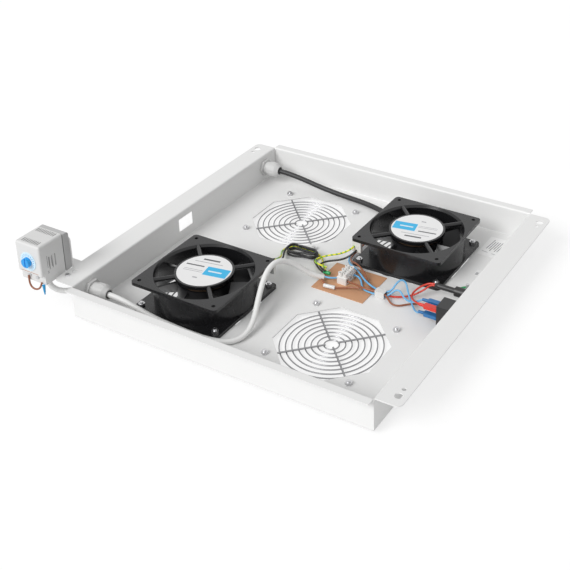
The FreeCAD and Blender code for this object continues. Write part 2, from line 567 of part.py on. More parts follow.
def write_fuse():
    """A panel fuse holder in the right wall: body, bayonet cap, nut, fuse and sleeved tail."""
    y, z = FUSE_AT, PLATE_Z + FUSE_UP
    body = joined([rod(FUSE_R - 2 * FUSE_FIT, FUSE_L + SHEET, (WALL_IN - FUSE_L, y, z), X_AXIS),
                   rod(FUSE_HEAD_R, FUSE_HEAD_T, (HALF_X, y, z), X_AXIS)])
    bore = rod(FUSE_CAP_R - FUSE_BORE, FUSE_L + FUSE_HEAD_T, (WALL_IN - FUSE_L + FUSE_END, y, z), X_AXIS)
    cap_at = HALF_X + FUSE_HEAD_T - FUSE_SEAT
    seat = rod(FUSE_CAP_R + FUSE_FIT, FUSE_SEAT, (cap_at, y, z), X_AXIS)
    save("fuse_holder", cut(body, [bore, seat]))
    nut = prism(FUSE_NUT_AF, FUSE_NUT_T, (WALL_IN - FUSE_NUT_T, y, z), X_AXIS)
    save("fuse_nut", nut.cut(rod(FUSE_R - FUSE_FIT, 3 * FUSE_NUT_T, (WALL_IN - 2 * FUSE_NUT_T, y, z), X_AXIS)))
    cap = rod(FUSE_CAP_R, FUSE_CAP_L, (cap_at, y, z), X_AXIS)
    slot = centred((FUSE_SLOT[0], 2 * FUSE_CAP_R, FUSE_SLOT[1]), (cap_at + FUSE_CAP_L, y, z - FUSE_SLOT[1] / 2))
    save("fuse_cap", cap.cut(slot))
    link_at = WALL_IN - FUSE_L + FUSE_END
    save("fuse_link", rod(FUSE_LINK_R, cap_at - FUSE_LINK_GAP - link_at, (link_at, y, z), X_AXIS))
    shrink_x = WALL_IN - FUSE_L - SHRINK_L
    sleeve = revolved([(0, 0), (SHRINK_NOSE[0], 0), (SHRINK_R, SHRINK_NOSE[1]), (SHRINK_R, SHRINK_L), (0, SHRINK_L)],
                      (shrink_x, y, z), X_AXIS)
    save("fuse_sleeve", sleeve)


# ----------------------------------------------- terminals, earth, pad and labels
def write_wiring_hardware():
    save("insulating_pad", centred((*PAD_SIZE, PAD_T), (*PAD_AT, PLATE_TOP)))
    floor = PLATE_TOP + PAD_T
    length, width, height = BLOCK_SIZE
    body = plate(length, width, height * BLOCK_BODY, BLOCK_CORNER, (*BLOCK_AT, floor))
    way = width / BLOCK_WAYS
    towers, bores, screws = [], [], []
    for i in range(BLOCK_WAYS):
        y = BLOCK_AT[1] + (i - (BLOCK_WAYS - 1) / 2) * way
        bores.append(rod(BLOCK_BORE, 2 * length, (BLOCK_AT[0] - length, y, floor + BLOCK_BORE_UP), X_AXIS))
        for dx in (-length / 4, length / 4):
            towers.append(rod(BLOCK_TOWER_R, height, (BLOCK_AT[0] + dx, y, floor)))
            bores.append(rod(BLOCK_SCREW_R + BLOCK_SCREW_FIT, height, (BLOCK_AT[0] + dx, y, floor + BLOCK_BORE_UP)))
            screws.append(rod(BLOCK_SCREW_R, BLOCK_SCREW_L, (BLOCK_AT[0] + dx, y, floor + BLOCK_SCREW_UP)))
    save("terminal_block", cut(joined([body] + towers), bores))
    for dx in (-TERMINAL_X, TERMINAL_X):
        at = (THERMO_RIGHT - THERMO_X / 2 + dx, THERMO_FRONT + TERMINAL_STEP[0] - TERMINAL_T,
              THERMO_FLOOR + TERMINAL_STEP[1] * TERMINAL_UP)
        screws.append(rod(TERMINAL_R, TERMINAL_T, at, Y_AXIS))
    save("terminal_screws", *screws)
    ex, ey = EARTH_AT
    head_r, head_t = EARTH_HEAD
    stud = joined([rod(EARTH_HOLE / 2 - EARTH_FIT, EARTH_STUD_L, (ex, ey, PLATE_Z)),
                   rod(head_r, head_t, (ex, ey, PLATE_Z - head_t)),
                   prism(NUT_AF, NUT_H, (ex, ey, PLATE_TOP + STICKER))])
    save("earth_stud", stud)
    bore = rod(EARTH_HOLE / 2 + NUT_FIT, EARTH_STUD_L, (ex, ey, PLATE_Z))
    save("earth_sticker", rod(EARTH_STICKER_R, STICKER, (ex, ey, PLATE_TOP)).cut(bore))
    save("rating_label", centred((*LABEL_SIZE, STICKER), (*LABEL_AT, PLATE_TOP)))
    splice = plate(*SPLICE_SIZE, SPLICE_CORNER, (*SPLICE_AT, PLATE_TOP + FLOOR_GAP))
    bore_low = PLATE_TOP + FLOOR_GAP + (SPLICE_SIZE[2] - SPLICE_BORE[1]) / 2
    save("splice_sleeve", splice.cut(centred((3 * SPLICE_SIZE[0], *SPLICE_BORE), (*SPLICE_AT, bore_low))))


# ------------------------------------------------------------------- thermostat
def write_thermostat():
    """A small snap-on thermostat held outside the front left corner by a bracket."""
    left, front, floor = THERMO_RIGHT - THERMO_X, THERMO_FRONT, THERMO_FLOOR
    body = block((THERMO_X, THERMO_Y, THERMO_Z), (left, front, floor))
    depth, height = TERMINAL_STEP
    body = body.cut(block((THERMO_X, depth, height), (left, front, floor)))
    body = fillet_along(body, THERMO_R, Y_AXIS, lambda c: c.z > floor + THERMO_Z / 2)
    body = fillet_along(body, THERMO_R, Z_AXIS, lambda c: c.y < front + depth / 2)
    top = floor + THERMO_Z
    slots = []
    for row_y, count in ((front + FRONT_ROW[0], FRONT_ROW[1]), (-THERMO_BACK - BACK_ROW[0], BACK_ROW[1])):
        for i in range(count):
            x = left + THERMO_X / 2 + (i - (count - 1) / 2) * SLOT_STEP
            slots.append(centred((SLOT_W, SLOT_L, SLOT_DEEP), (x, row_y, top - SLOT_DEEP)))
    for i in range(SIDE_SLOTS):
        slots.append(block((SLOT_DEEP, SLOT_W, SIDE_SLOT_L),
                           (THERMO_RIGHT - SLOT_DEEP, front + SIDE_AT[0] + i * SIDE_STEP, floor + SIDE_AT[1])))
    body = cut(body, slots)
    save("thermostat_housing", body)
    knob_x, knob_z = left + THERMO_X / 2, floor + THERMO_Z * KNOB_UP
    dial = rod(DIAL_R, DIAL_T, (knob_x, front, knob_z), -Y_AXIS)
    save("thermostat_dial", dial.cut(rod(STEM_R + KNOB_FIT, 3 * DIAL_T, (knob_x, front + DIAL_T, knob_z), -Y_AXIS)))
    grip = rod(KNOB_R, KNOB_L - KNOB_FIT, (knob_x, front - DIAL_T - KNOB_FIT, knob_z), -Y_AXIS)
    slot = centred((*KNOB_SLOT, 2 * KNOB_R), (knob_x, front - DIAL_T - KNOB_L, knob_z - KNOB_R))
    stem = rod(STEM_R, DIAL_T + KNOB_FIT, (knob_x, front - STEM_GAP, knob_z), -Y_AXIS)
    save("thermostat_knob", joined([grip.cut(slot), stem]))
    base_front = -THERMO_BACK + BASE_GAP
    base = block((THERMO_X, BASE_Y, THERMO_Z - 2 * BASE_EDGE), (left, base_front, floor + BASE_EDGE))
    base = fillet_along(base, BASE_R, X_AXIS, lambda c: c.y > base_front + BASE_Y / 2)
    pins = [rod(BASE_PIN_R, BASE_GAP, (left + THERMO_X / 2 + dx, -THERMO_BACK, floor + h), Y_AXIS)
            for dx in (-BASE_PIN_X, BASE_PIN_X) for h in (BASE_PIN_Z, THERMO_Z - BASE_PIN_Z)]
    save("thermostat_base", joined([base] + pins))
    hole_x, hole_y = -HALF_X - BRACKET_SCREW_AT[0], -BRACKET_SCREW_AT[1]
    under = RIM - SHEET - BRACKET
    foot = block((*FOOT, BRACKET), (hole_x - FOOT_OFF[0], hole_y - FOOT_OFF[1], under))
    right = -FLANGE_X - ARM_GAP
    arm = block((BRACKET_X + ARM[0], ARM[1], BRACKET), (right - BRACKET_X, BASE_BACK, under))
    leg = block((BRACKET_X, BRACKET, BRACKET_UP), (right - BRACKET_X, BASE_BACK, under))
    leg = fillet_along(leg, LEG_R, Y_AXIS, lambda c: c.z > under + BRACKET_UP / 2)
    bracket = joined([foot, arm, leg]).cut(rod(SMALL_HOLE / 2, 3 * BRACKET, (hole_x, hole_y, under - BRACKET)))
    save("thermostat_bracket", bracket)
    head_r, top_r, head_h = BRACKET_HEAD
    tip = under - NUT_H - THREAD_OVER
    screw = revolved([(0, tip), (SCREW / 2, tip), (SCREW / 2, RIM), (head_r, RIM), (top_r, RIM + head_h),
                      (0, RIM + head_h)], (hole_x, hole_y, 0))
    save("bracket_screw", joined([screw, prism(NUT_AF, NUT_H, (hole_x, hole_y, under - NUT_H))]))


# ----------------------------------------------------------------------- cords
SUPPLY_CABLE = [
    (-245.5, 130, 17.8), (-245.5, 146.1, 20.6), (-234.9, 164.4, 25.2), (-216.6, 175, 26.8), (-163, 175, 26.8),
    (-136, 176.5, 23.5), (-112, 179, 17.5), (-86, 181.2, 12.2), (-60, 181.2, 10.2), (-36, 179.6, 9.9),
    (-14, 175.4, 9.9), (2, 170, 9.9)]
SUPPLY_END = [
    (-203.5, 190, 3.8), (-203.5, 204.9, 3.8), (-193.6, 222.1, 4.2), (-176.4, 232, 6), (-155, 232, 7.3),
    (-133, 232, 7.3)]
THERMOSTAT_CABLE = [
    (-244.5, -192, 41), (-244.5, -192, 31), (-241.8, -190, 21.5), (-234, -184.5, 15.5),
    (-222.5, -178.5, 16.5), (-212, -175.2, 22.5), (-199.5, -175, 26.8), (-163, -175, 26.8),
    (-147, -174.4, 25.3), (-130, -172.6, 20.5), (-111, -170.2, 13.6), (-88, -169, 10.1), (-57, -169.8, 9.8),
    (-33, -169.4, 9.8), (-15, -165, 9.8), (-3, -155, 10), (0, -139, 11.5), (-4, -121, 17),
    (-11, -103, 28), (-17, -84, 40.5), (-20.5, -64, 48.4), (-18.5, -47, 47.8), (-12.5, -33, 39.5),
    (-3.5, -22.5, 27.5), (5, -13.5, 17), (15, -5, 11)]
FAN_FRONT_LEAD = [
    (-40, -43.1, 35), (-40, -34, 35), (-43, -21, 28), (-47.5, -7, 17.5), (-51.5, 8, 9.5), (-57.3, 23.5, 9)]
FAN_FRONT_LEAD_END = [(-17, 24.5, 9), (-8, 17, 8.4), (1, 9.5, 8.8), (12.5, 3.4, 11)]
FAN_FRONT_EARTH = [
    (-36, -43.1, 35), (-36, -34, 35), (-38.5, -20, 30), (-45, -5, 22.5), (-54.5, 9, 15.5), (-62.5, 22, 10),
    (-64, 34, 7.8), (-56.5, 42.5, 7.5), (-44, 44.6, 7.5), (-31, 43.4, 7.5), (-17.5, 40.3, 7.7), (-7.7, 30.7, 8.4),
    (0.5, 17.5, 10), (12.5, 6.9, 11)]
FAN_BACK_LEAD = [
    (33, 43.1, 28), (33, 37, 28), (28, 31, 23.5), (18.5, 30, 17.5), (8, 28, 14.3), (0.3, 21.5, 13.8),
    (-1, 12.5, 14.8), (4.5, 5.8, 15.2), (12.5, 3.4, 14.3)]
FAN_BACK_EARTH = [
    (30, 43.1, 33), (30, 38.5, 33), (26.5, 33.7, 30.5), (19, 33.5, 25.5), (10, 36, 19.5), (-1, 36, 15),
    (-9.5, 29.5, 13.2), (-11.5, 19, 14.5), (-6, 10.5, 17), (3, 7.2, 18.4), (12.5, 6.9, 17.6)]
BLUE_SUPPLY = [
    (1.55, 168.6, 9.9), (8.15, 166.37, 9.9), (13.9, 159.2, 9.4), (16, 148.8, 8.7), (16.5, 127, 8.6),
    (16.1, 97, 8.7), (16.3, 68, 8.7), (18.5, 49, 9.5), (26, 37.5, 10.5), (38, 30.5, 12), (50, 22.3, 12.4),
    (62, 12.5, 12.3), (75, 5.2, 12.2), (87, 2.4, 12), (97.5, 2.6, 12.1), (102.3, 7, 15.2), (104, 12.5, 20.5),
    (107.5, 18.3, 24.5), (113, 20.5, 21.5), (117, 16.5, 15.8), (123.5, 8.5, 12.2), (132.5, -2, 10.8),
    (141, -12.5, 11.5), (149, -20, 15.5), (154, -22, 19.3), (157.9, -22, 19.3)]
BLUE_LOAD = [
    (41, 18, 11), (49, 18, 11), (56.5, 13.5, 9.8), (62, 5.5, 8.4), (68.5, -0.5, 8), (78, -1.8, 8.2), (88, -1.2, 8.6),
    (97.5, -1.1, 8.8), (103, 2.5, 12.8), (107.3, 5.5, 17.3), (113, 6.2, 17.6), (118, 3.2, 13.9), (125, -1, 13),
    (134, -5.5, 16), (142.5, -9.8, 22), (149, -12, 28), (154, -12, 29.3), (157.9, -12, 29.3)]
BROWN_SUPPLY = [
    (2.53, 171.5, 9.9), (10.1, 168.94, 9.9), (16.9, 160.6, 9.9), (19.1, 149.2, 9.6), (19.6, 127, 9.5), (19.2, 97, 9.6),
    (19.4, 68, 9.6), (20.6, 51, 10.2), (26.8, 39.9, 13), (39, 34, 16), (52, 26.5, 15), (63, 16.5, 11),
    (71, 8.5, 8.4), (80.5, 2.3, 8.6), (90.5, 2.3, 8.6)]
BROWN_LOAD = [
    (41, 2, 11), (49, 2, 11), (57.5, 0.5, 11.4), (67, -2.2, 12), (78, -2.2, 12.1), (88, -1.3, 12), (98, -1.6, 11.6),
    (104, -6, 9.4), (110.5, -10, 7.7), (118.5, -8.5, 7.4), (125, -1.5, 7.4), (132.5, 3.5, 8), (142, 3, 10.5),
    (151.5, -1.5, 14), (159, -8, 17.5), (162.5, -12, 19.3), (167.3, -12, 19.3)]
RED_FUSE = [
    (90.5, 2.3, 8.6), (98.5, 2.3, 8.6), (105.5, 4, 8.2), (113, 7.8, 8.2), (120.5, 12.5, 9), (128.5, 17.5, 11.8),
    (137, 22.5, 18), (143, 25.4, 24.8), (147.8, 25.4, 24.8)]
RED_SWITCH = [
    (147.8, 28.6, 24.8), (142, 28.6, 24.8), (133.5, 24, 21.5), (128.5, 14.5, 19), (129, 4, 18.8), (134.5, -6.5, 21.8),
    (142.5, -15.5, 26), (150.3, -22, 29.3), (157.9, -22, 29.3)]


def write_cords():
    """Every cord, the fan lead's bundle and the unseen end of the supply cord with its plug."""
    single = {
        "thermostat_cable": (THERMOSTAT_CABLE, WHITE_D), "fan_front_earth": (FAN_FRONT_EARTH, WIRE_D),
        "fan_back_lead": (FAN_BACK_LEAD, LEAD_D), "fan_back_earth": (FAN_BACK_EARTH, WIRE_D),
        "blue_supply": (BLUE_SUPPLY, WIRE_D), "blue_load": (BLUE_LOAD, WIRE_D),
        "brown_supply": (BROWN_SUPPLY, WIRE_D), "brown_load": (BROWN_LOAD, WIRE_D),
        "red_fuse": (RED_FUSE, WIRE_D), "red_switch": (RED_SWITCH, WIRE_D)}
    for name, (route, diameter) in single.items():
        print(name)
        save(name, route_tube(route, diameter))
    print("supply_cable, fan_front_lead")
    save("supply_cable", *[route_tube(route, CABLE_D) for route in (SUPPLY_CABLE, SUPPLY_END)])
    save("fan_front_lead", *[route_tube(route, LEAD_D) for route in (FAN_FRONT_LEAD, FAN_FRONT_LEAD_END)])
    floor = PLATE_TOP + FLOOR_GAP
    width, depth, height = COIL_SIZE
    coil = plate(width, depth, height, depth / 2 - 0.01, (*COIL_AT, floor))
    hole = plate(*COIL_HOLE, height, COIL_HOLE[1] / 2 - 0.01, (*COIL_AT, floor))
    save("fan_front_coil", coil.cut(hole))
    save("supply_hank",
         coiled_ring(HANK_LOW_X, HANK_LOW, FLOOR_GAP, CABLE_D, 2 * CABLE_D),
         coiled_ring(HANK_TOP_X, HANK_TOP, FLOOR_GAP + CABLE_D, HANK_LAYERS * CABLE_D, CABLE_D))
    save("supply_plug", supply_plug())


def coiled_ring(width, at, low, height, band):
    """The outer shape of turns wound into a long ring, band wide."""
    ring = plate(width, HANK_Y, height, width / 2 - 0.01, (*at, low))
    inside = width - 2 * band
    return ring.cut(plate(inside, HANK_Y - 2 * band, height, inside / 2 - 0.01, (*at, low)))


def supply_plug():
    """A flat moulded plug with three round pins in line, lying on the floor."""
    x, y = PLUG_AT
    z = FLOOR_GAP + PLUG_FACE[1] / 2
    ends = []
    for at, (wide, high) in ((0, PLUG_TAIL), (PLUG_L * 0.4, PLUG_FACE), (PLUG_L, PLUG_FACE)):
        corners = [V(x + at, y + sy * wide / 2, z + sz * high / 2) for sy, sz in ((-1, -1), (1, -1), (1, 1), (-1, 1))]
        ends.append(Part.makePolygon(corners + corners[:1]))
    pins = [rod(PIN_D / 2, PIN_L, (x + PLUG_L, y + i * PIN_STEP, z), X_AXIS) for i in (-1, 0, 1)]
    return joined([Part.makeLoft(ends, True, True)] + pins)


# ----------------------------------------------------------------------- build
def main():
    os.makedirs("parts", exist_ok=True)
    save("tray_pan", tray_pan())
    for i, (x, y) in enumerate(PLACES):
        save("finger_guard_%d" % (i + 1), finger_guard(x, y))
    screws, nuts = [], []
    for i, (x, y) in enumerate(PLACES):
        seat = PLATE_TOP + (FAN_FLANGE if i < len(FANS) else 0)
        for sx, sy in CORNERS:
            screw, nut = screw_and_nut(x + sx * FAN_PITCH / 2, y + sy * FAN_PITCH / 2, seat)
            screws.append(screw)
            nuts.append(nut)
    save("guard_screws", *screws)
    save("guard_nuts", *nuts)
    write_fans()
    write_glands()
    write_switch()
    write_fuse()
    write_wiring_hardware()
    write_thermostat()
    write_cords()


main()
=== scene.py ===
import math

import bmesh
import bpy
from mathutils import Matrix, Vector


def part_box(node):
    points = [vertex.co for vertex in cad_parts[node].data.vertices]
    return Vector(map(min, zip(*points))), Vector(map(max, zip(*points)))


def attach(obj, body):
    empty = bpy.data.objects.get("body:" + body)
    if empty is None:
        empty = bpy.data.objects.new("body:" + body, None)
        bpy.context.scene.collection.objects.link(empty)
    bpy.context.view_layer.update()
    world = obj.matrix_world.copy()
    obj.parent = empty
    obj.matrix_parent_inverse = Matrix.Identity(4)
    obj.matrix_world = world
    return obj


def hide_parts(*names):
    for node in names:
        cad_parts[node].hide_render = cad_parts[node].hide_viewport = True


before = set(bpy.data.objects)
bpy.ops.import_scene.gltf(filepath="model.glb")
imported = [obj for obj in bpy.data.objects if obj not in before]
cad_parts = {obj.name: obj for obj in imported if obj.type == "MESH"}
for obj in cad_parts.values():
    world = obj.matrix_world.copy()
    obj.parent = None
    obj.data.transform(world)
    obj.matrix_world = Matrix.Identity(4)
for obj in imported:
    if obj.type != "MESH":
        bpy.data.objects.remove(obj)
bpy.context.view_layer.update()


# ---------------------------------------------------------------------------
# Camera: stands in front, to the right and above, a little under two metres
# off. It is made first because the cords are judged by what it sees.
view_azimuth, view_elevation, view_roll = math.radians(29.72), math.radians(22.18), math.radians(-0.27)
lens = bpy.data.cameras.new("camera")
lens.sensor_width = 36.0
lens.lens = 66.82
lens.shift_x = -0.1379
lens.shift_y = -0.3688
lens.clip_end = 20.0
camera = bpy.data.objects.new("camera", lens)
bpy.context.scene.collection.objects.link(camera)
turn = Matrix.Rotation(view_azimuth, 4, "Z") @ Matrix.Rotation(math.pi / 2 - view_elevation, 4, "X")
view_place = (0.61394, -0.91597, 0.7137)
camera.matrix_world = Matrix.Translation(view_place) @ turn @ Matrix.Rotation(view_roll, 4, "Z")
bpy.context.scene.camera = camera


# ---------------------------------------------------------------------------
# Tray: one sheet of 1.2 mm steel, folded and powder-coated light grey. The
# coat is smooth with a faint orange peel that shows only in its gloss.
def finish(name, colour, roughness, metallic=0.0, grain=900.0, depth=0.00002, patch=35.0, vary=0.03):
    """A procedural finish: fine grain in the surface and a slow drift of its colour."""
    material = bpy.data.materials.new(name)
    material.use_nodes = True
    nodes, links = material.node_tree.nodes, material.node_tree.links
    shader = nodes["Principled BSDF"]
    place = nodes.new("ShaderNodeTexCoord")
    slow = nodes.new("ShaderNodeTexNoise")
    slow.inputs["Scale"].default_value = patch
    slow.inputs["Detail"].default_value = 3.0
    tint = nodes.new("ShaderNodeMix")
    tint.data_type = "RGBA"
    tint.inputs["A"].default_value = (*[c * (1 - vary) for c in colour], 1)
    tint.inputs["B"].default_value = (*[min(1.0, c * (1 + vary)) for c in colour], 1)
    fine = nodes.new("ShaderNodeTexNoise")
    fine.inputs["Scale"].default_value = grain
    fine.inputs["Detail"].default_value = 2.0
    bump = nodes.new("ShaderNodeBump")
    bump.inputs["Strength"].default_value = 0.6
    bump.inputs["Distance"].default_value = depth
    gloss = nodes.new("ShaderNodeMapRange")
    gloss.inputs["To Min"].default_value = max(0.02, roughness - 0.06)
    gloss.inputs["To Max"].default_value = min(1.0, roughness + 0.06)
    links.new(place.outputs["Object"], slow.inputs["Vector"])
    links.new(place.outputs["Object"], fine.inputs["Vector"])
    links.new(slow.outputs["Fac"], tint.inputs["Factor"])
    links.new(tint.outputs["Result"], shader.inputs["Base Color"])
    links.new(fine.outputs["Fac"], bump.inputs["Height"])
    links.new(bump.outputs["Normal"], shader.inputs["Normal"])
    links.new(slow.outputs["Fac"], gloss.inputs["Value"])
    links.new(gloss.outputs["Result"], shader.inputs["Roughness"])
    shader.inputs["Metallic"].default_value = metallic
    return material


def dress(material, *nodes):
    """Gives CAD nodes their finish."""
    for node in nodes:
        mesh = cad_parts[node].data
        mesh.materials.clear()
        mesh.materials.append(material)


tray_paint = finish("tray_powder_coat", (0.815, 0.815, 0.81), 0.42, grain=1400, depth=0.00001, vary=0.008)
dress(tray_paint, "tray_pan", "thermostat_bracket")


# ---------------------------------------------------------------------------
# Finger guards: rings of round wire welded under four spokes that end in
# flat eyes, bright plated, one guard under each fan place.
def new_piece(name, bm, material, body, smooth=True, replaces=()):
    """Turns a bmesh into an object of the part."""
    bmesh.ops.remove_doubles(bm, verts=bm.verts, dist=1e-7)
    bmesh.ops.recalc_face_normals(bm, faces=bm.faces)
    mesh = bpy.data.meshes.new(name)
    bm.to_mesh(mesh)
    bm.free()
    if smooth:
        mesh.polygons.foreach_set("use_smooth", [True] * len(mesh.polygons))
        mesh.set_sharp_from_angle(angle=math.radians(35))
    mesh.materials.append(material)
    piece = bpy.data.objects.new(name, mesh)
    bpy.context.scene.collection.objects.link(piece)
    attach(piece, body)
    if replaces:
        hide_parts(*replaces)
    return piece


def verts_of(geom):
    """The vertices among what an operator made."""
    return [part for part in geom if isinstance(part, bmesh.types.BMVert)]


def wire_ring(bm, centre, radius, wire, sides=10, steps=72):
    """A ring of round wire lying flat."""
    start = Matrix.Translation((radius, 0, 0)) @ Matrix.Rotation(math.pi / 2, 4, "X")
    ring = bmesh.ops.create_circle(bm, segments=sides, radius=wire / 2, matrix=start)["verts"]
    edges = list({edge for vert in ring for edge in vert.link_edges})
    made = bmesh.ops.spin(bm, geom=edges, cent=(0, 0, 0), axis=(0, 0, 1), angle=2 * math.pi,
                          steps=steps, use_merge=True)
    verts = set(ring)
    reach = list(ring)
    while reach:
        for edge in reach.pop().link_edges:
            for vert in edge.verts:
                if vert not in verts:
                    verts.add(vert)
                    reach.append(vert)
    bmesh.ops.translate(bm, verts=list(verts), vec=centre)


plated_wire = finish("guard_plating", (0.34, 0.34, 0.35), 0.38, metallic=1.0, grain=2500, depth=0.000004)
guard_rings, ring_step, ring_outer = 8, 0.007, 0.0575
ring_wire, spoke_wire, head_height = 0.0016, 0.0022, 0.0026
screw_pitch = 0.1048
eye_radius, eye_hole = 0.0046, 0.0023
ring_sunk, spoke_short = 0.0005, 0.0042
eye_out = screw_pitch / math.sqrt(2)
for number in range(1, 5):
    low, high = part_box("finger_guard_%d" % number)
    middle = (low + high) / 2
    bm = bmesh.new()
    ring_height = head_height - ring_wire / 2 + ring_sunk
    for i in range(guard_rings):
        wire_ring(bm, (middle.x, middle.y, ring_height), ring_outer - i * ring_step, ring_wire)
    inner = ring_outer - (guard_rings - 1) * ring_step - ring_wire
    reach = eye_out - spoke_short
    for quarter in range(4):
        way = Matrix.Rotation(math.radians(45 + 90 * quarter), 4, "Z")
        along = Matrix.Translation(((inner + reach) / 2, 0, 0)) @ Matrix.Rotation(math.pi / 2, 4, "Y")
        home = Matrix.Translation((middle.x, middle.y, head_height + spoke_wire / 2))
        bmesh.ops.create_cone(bm, cap_ends=True, segments=12, radius1=spoke_wire / 2, radius2=spoke_wire / 2,
                              depth=reach - inner, matrix=home @ way @ along)
        eye_at = Vector((eye_out, 0, -spoke_wire / 2))
        eye_place = home @ way @ Matrix.Translation(eye_at)
        hole = bmesh.ops.create_circle(bm, segments=36, radius=eye_hole, matrix=eye_place)["verts"]
        rim = list({edge for vert in hole for edge in vert.link_edges})
        outer = verts_of(bmesh.ops.extrude_edge_only(bm, edges=rim)["geom"])
        centre = home @ way @ eye_at
        for vert in outer:
            vert.co = centre + (vert.co - centre) * (eye_radius / eye_hole)
        flat = list({face for vert in outer for face in vert.link_faces})
        risen = bmesh.ops.extrude_face_region(bm, geom=flat)["geom"]
        bmesh.ops.translate(bm, verts=verts_of(risen), vec=(0, 0, spoke_wire))
    new_piece("guard_wires_%d" % number, bm, plated_wire, "tray",
              replaces=("finger_guard_%d" % number,))


# ---------------------------------------------------------------------------
# Guard screws and nuts: zinc-plated M4 screws up through the plate, with
# plain hexagon nuts on the plate or on the fans' lower flanges.
zinc = finish("zinc_plating", (0.62, 0.62, 0.63), 0.3, metallic=1.0, grain=1800, depth=0.00001, vary=0.08)
dress(zinc, "guard_screws", "guard_nuts", "bracket_screw", "earth_stud")


# ---------------------------------------------------------------------------
# Fan frames: die-cast aluminium in satin black paint, a spool of two square
# flanges round a barrel, with four struts that carry the motor plate.
fan_paint = finish("fan_frame_paint", (0.008, 0.008, 0.009), 0.27, grain=700, depth=0.00002, vary=0.15)
dress(fan_paint, "fan_frame_front", "fan_frame_back", "fan_spider_front", "fan_spider_back")


# ---------------------------------------------------------------------------
# Impellers: moulded black plastic on a pressed rotor cup. Shaft, bearings
# and stator sit behind the motor plate.
blade_plastic = finish("impeller_plastic", (0.010, 0.010, 0.011), 0.32, grain=500, depth=0.00003, vary=0.12)
dress(blade_plastic, "impeller_front", "impeller_back")
ground_steel = finish("ground_steel", (0.55, 0.55, 0.56), 0.22, metallic=1.0, grain=3000, depth=0.000003)
dress(ground_steel, "fan_shaft_front", "fan_shaft_back", "fan_bearings")
dress(finish("stator_varnish", (0.2, 0.13, 0.08), 0.4, grain=1200, depth=0.00005, vary=0.2), "fan_stators")


# ---------------------------------------------------------------------------
# Fan labels: white printed film discs on the motor plates with a block of
# cyan and rows of plain rules. The two discs are turned differently.
def print_film(name, ground, marks, centre, turn):
    """White film with rectangular printed marks: (x, y, width, height, colour) from its centre, in metres."""
    material = bpy.data.materials.new(name)
    material.use_nodes = True
    nodes, links = material.node_tree.nodes, material.node_tree.links
    shader = nodes["Principled BSDF"]
    shader.inputs["Roughness"].default_value = 0.32
    place = nodes.new("ShaderNodeTexCoord")
    seat = nodes.new("ShaderNodeMapping")
    seat.vector_type = "TEXTURE"
    seat.inputs["Location"].default_value = centre
    seat.inputs["Rotation"].default_value = (0, 0, turn)
    links.new(place.outputs["Object"], seat.inputs["Vector"])
    axes = nodes.new("ShaderNodeSeparateXYZ")
    links.new(seat.outputs["Vector"], axes.inputs["Vector"])
    shade = None
    for x, y, width, height, colour in marks:
        inside = []
        for axis, at, half in (("X", x, width / 2), ("Y", y, height / 2)):
            near = nodes.new("ShaderNodeMath")
            near.operation = "COMPARE"
            near.inputs[1].default_value = at
            near.inputs[2].default_value = half
            links.new(axes.outputs[axis], near.inputs[0])
            inside.append(near)
        both = nodes.new("ShaderNodeMath")
        both.operation = "MULTIPLY"
        links.new(inside[0].outputs["Value"], both.inputs[0])
        links.new(inside[1].outputs["Value"], both.inputs[1])
        mix = nodes.new("ShaderNodeMix")
        mix.data_type = "RGBA"
        links.new(both.outputs["Value"], mix.inputs["Factor"])
        if shade is None:
            mix.inputs["A"].default_value = (*ground, 1)
        else:
            links.new(shade, mix.inputs["A"])
        mix.inputs["B"].default_value = (*colour, 1)
        shade = mix.outputs["Result"]
    links.new(shade, shader.inputs["Base Color"])
    return material


cyan, pale_blue = (0.02, 0.46, 0.80), (0.72, 0.84, 0.9)
ink, pale_ink = (0.08, 0.08, 0.09), (0.42, 0.42, 0.44)
fan_marks = [
    (0.0155, 0.0, 0.029, 0.0175, cyan), (-0.001, 0.0215, 0.021, 0.0028, ink),
    (-0.002, 0.0155, 0.036, 0.0012, pale_ink), (-0.0150, 0.0068, 0.023, 0.0022, ink),
    (0.0135, 0.0, 0.017, 0.0026, pale_blue), (-0.0130, -0.0020, 0.024, 0.0009, pale_ink),
    (-0.0130, -0.0050, 0.024, 0.0009, pale_ink), (-0.004, -0.0165, 0.006, 0.0024, pale_ink)]
film_radius, film_edge, film_height = 0.0322, 0.0321, 0.00024
label_turns = {"front": math.radians(10), "back": math.radians(190)}
bm = bmesh.new()
films = []
for number, (name, angle) in enumerate(label_turns.items()):
    low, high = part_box("fan_frame_" + name)
    centre = Vector(((low.x + high.x) / 2, (low.y + high.y) / 2, high.z))
    films.append(print_film("fan_label_" + name, (0.84, 0.84, 0.84), fan_marks, centre, angle))
    lifted = Matrix.Translation(centre + Vector((0, 0, film_height / 2)))
    disc = bmesh.ops.create_cone(bm, cap_ends=True, segments=96, radius1=film_radius, radius2=film_edge,
                                 depth=film_height, matrix=lifted)["verts"]
    for face in {face for vert in disc for face in vert.link_faces}:
        face.material_index = number
labels = new_piece("fan_label_films", bm, films[0], "tray", replaces=("fan_labels",))
labels.data.materials.append(films[1])
dress(finish("lead_clip_plastic", (0.75, 0.75, 0.73), 0.4, grain=900, depth=0.00002), "fan_lead_clips")


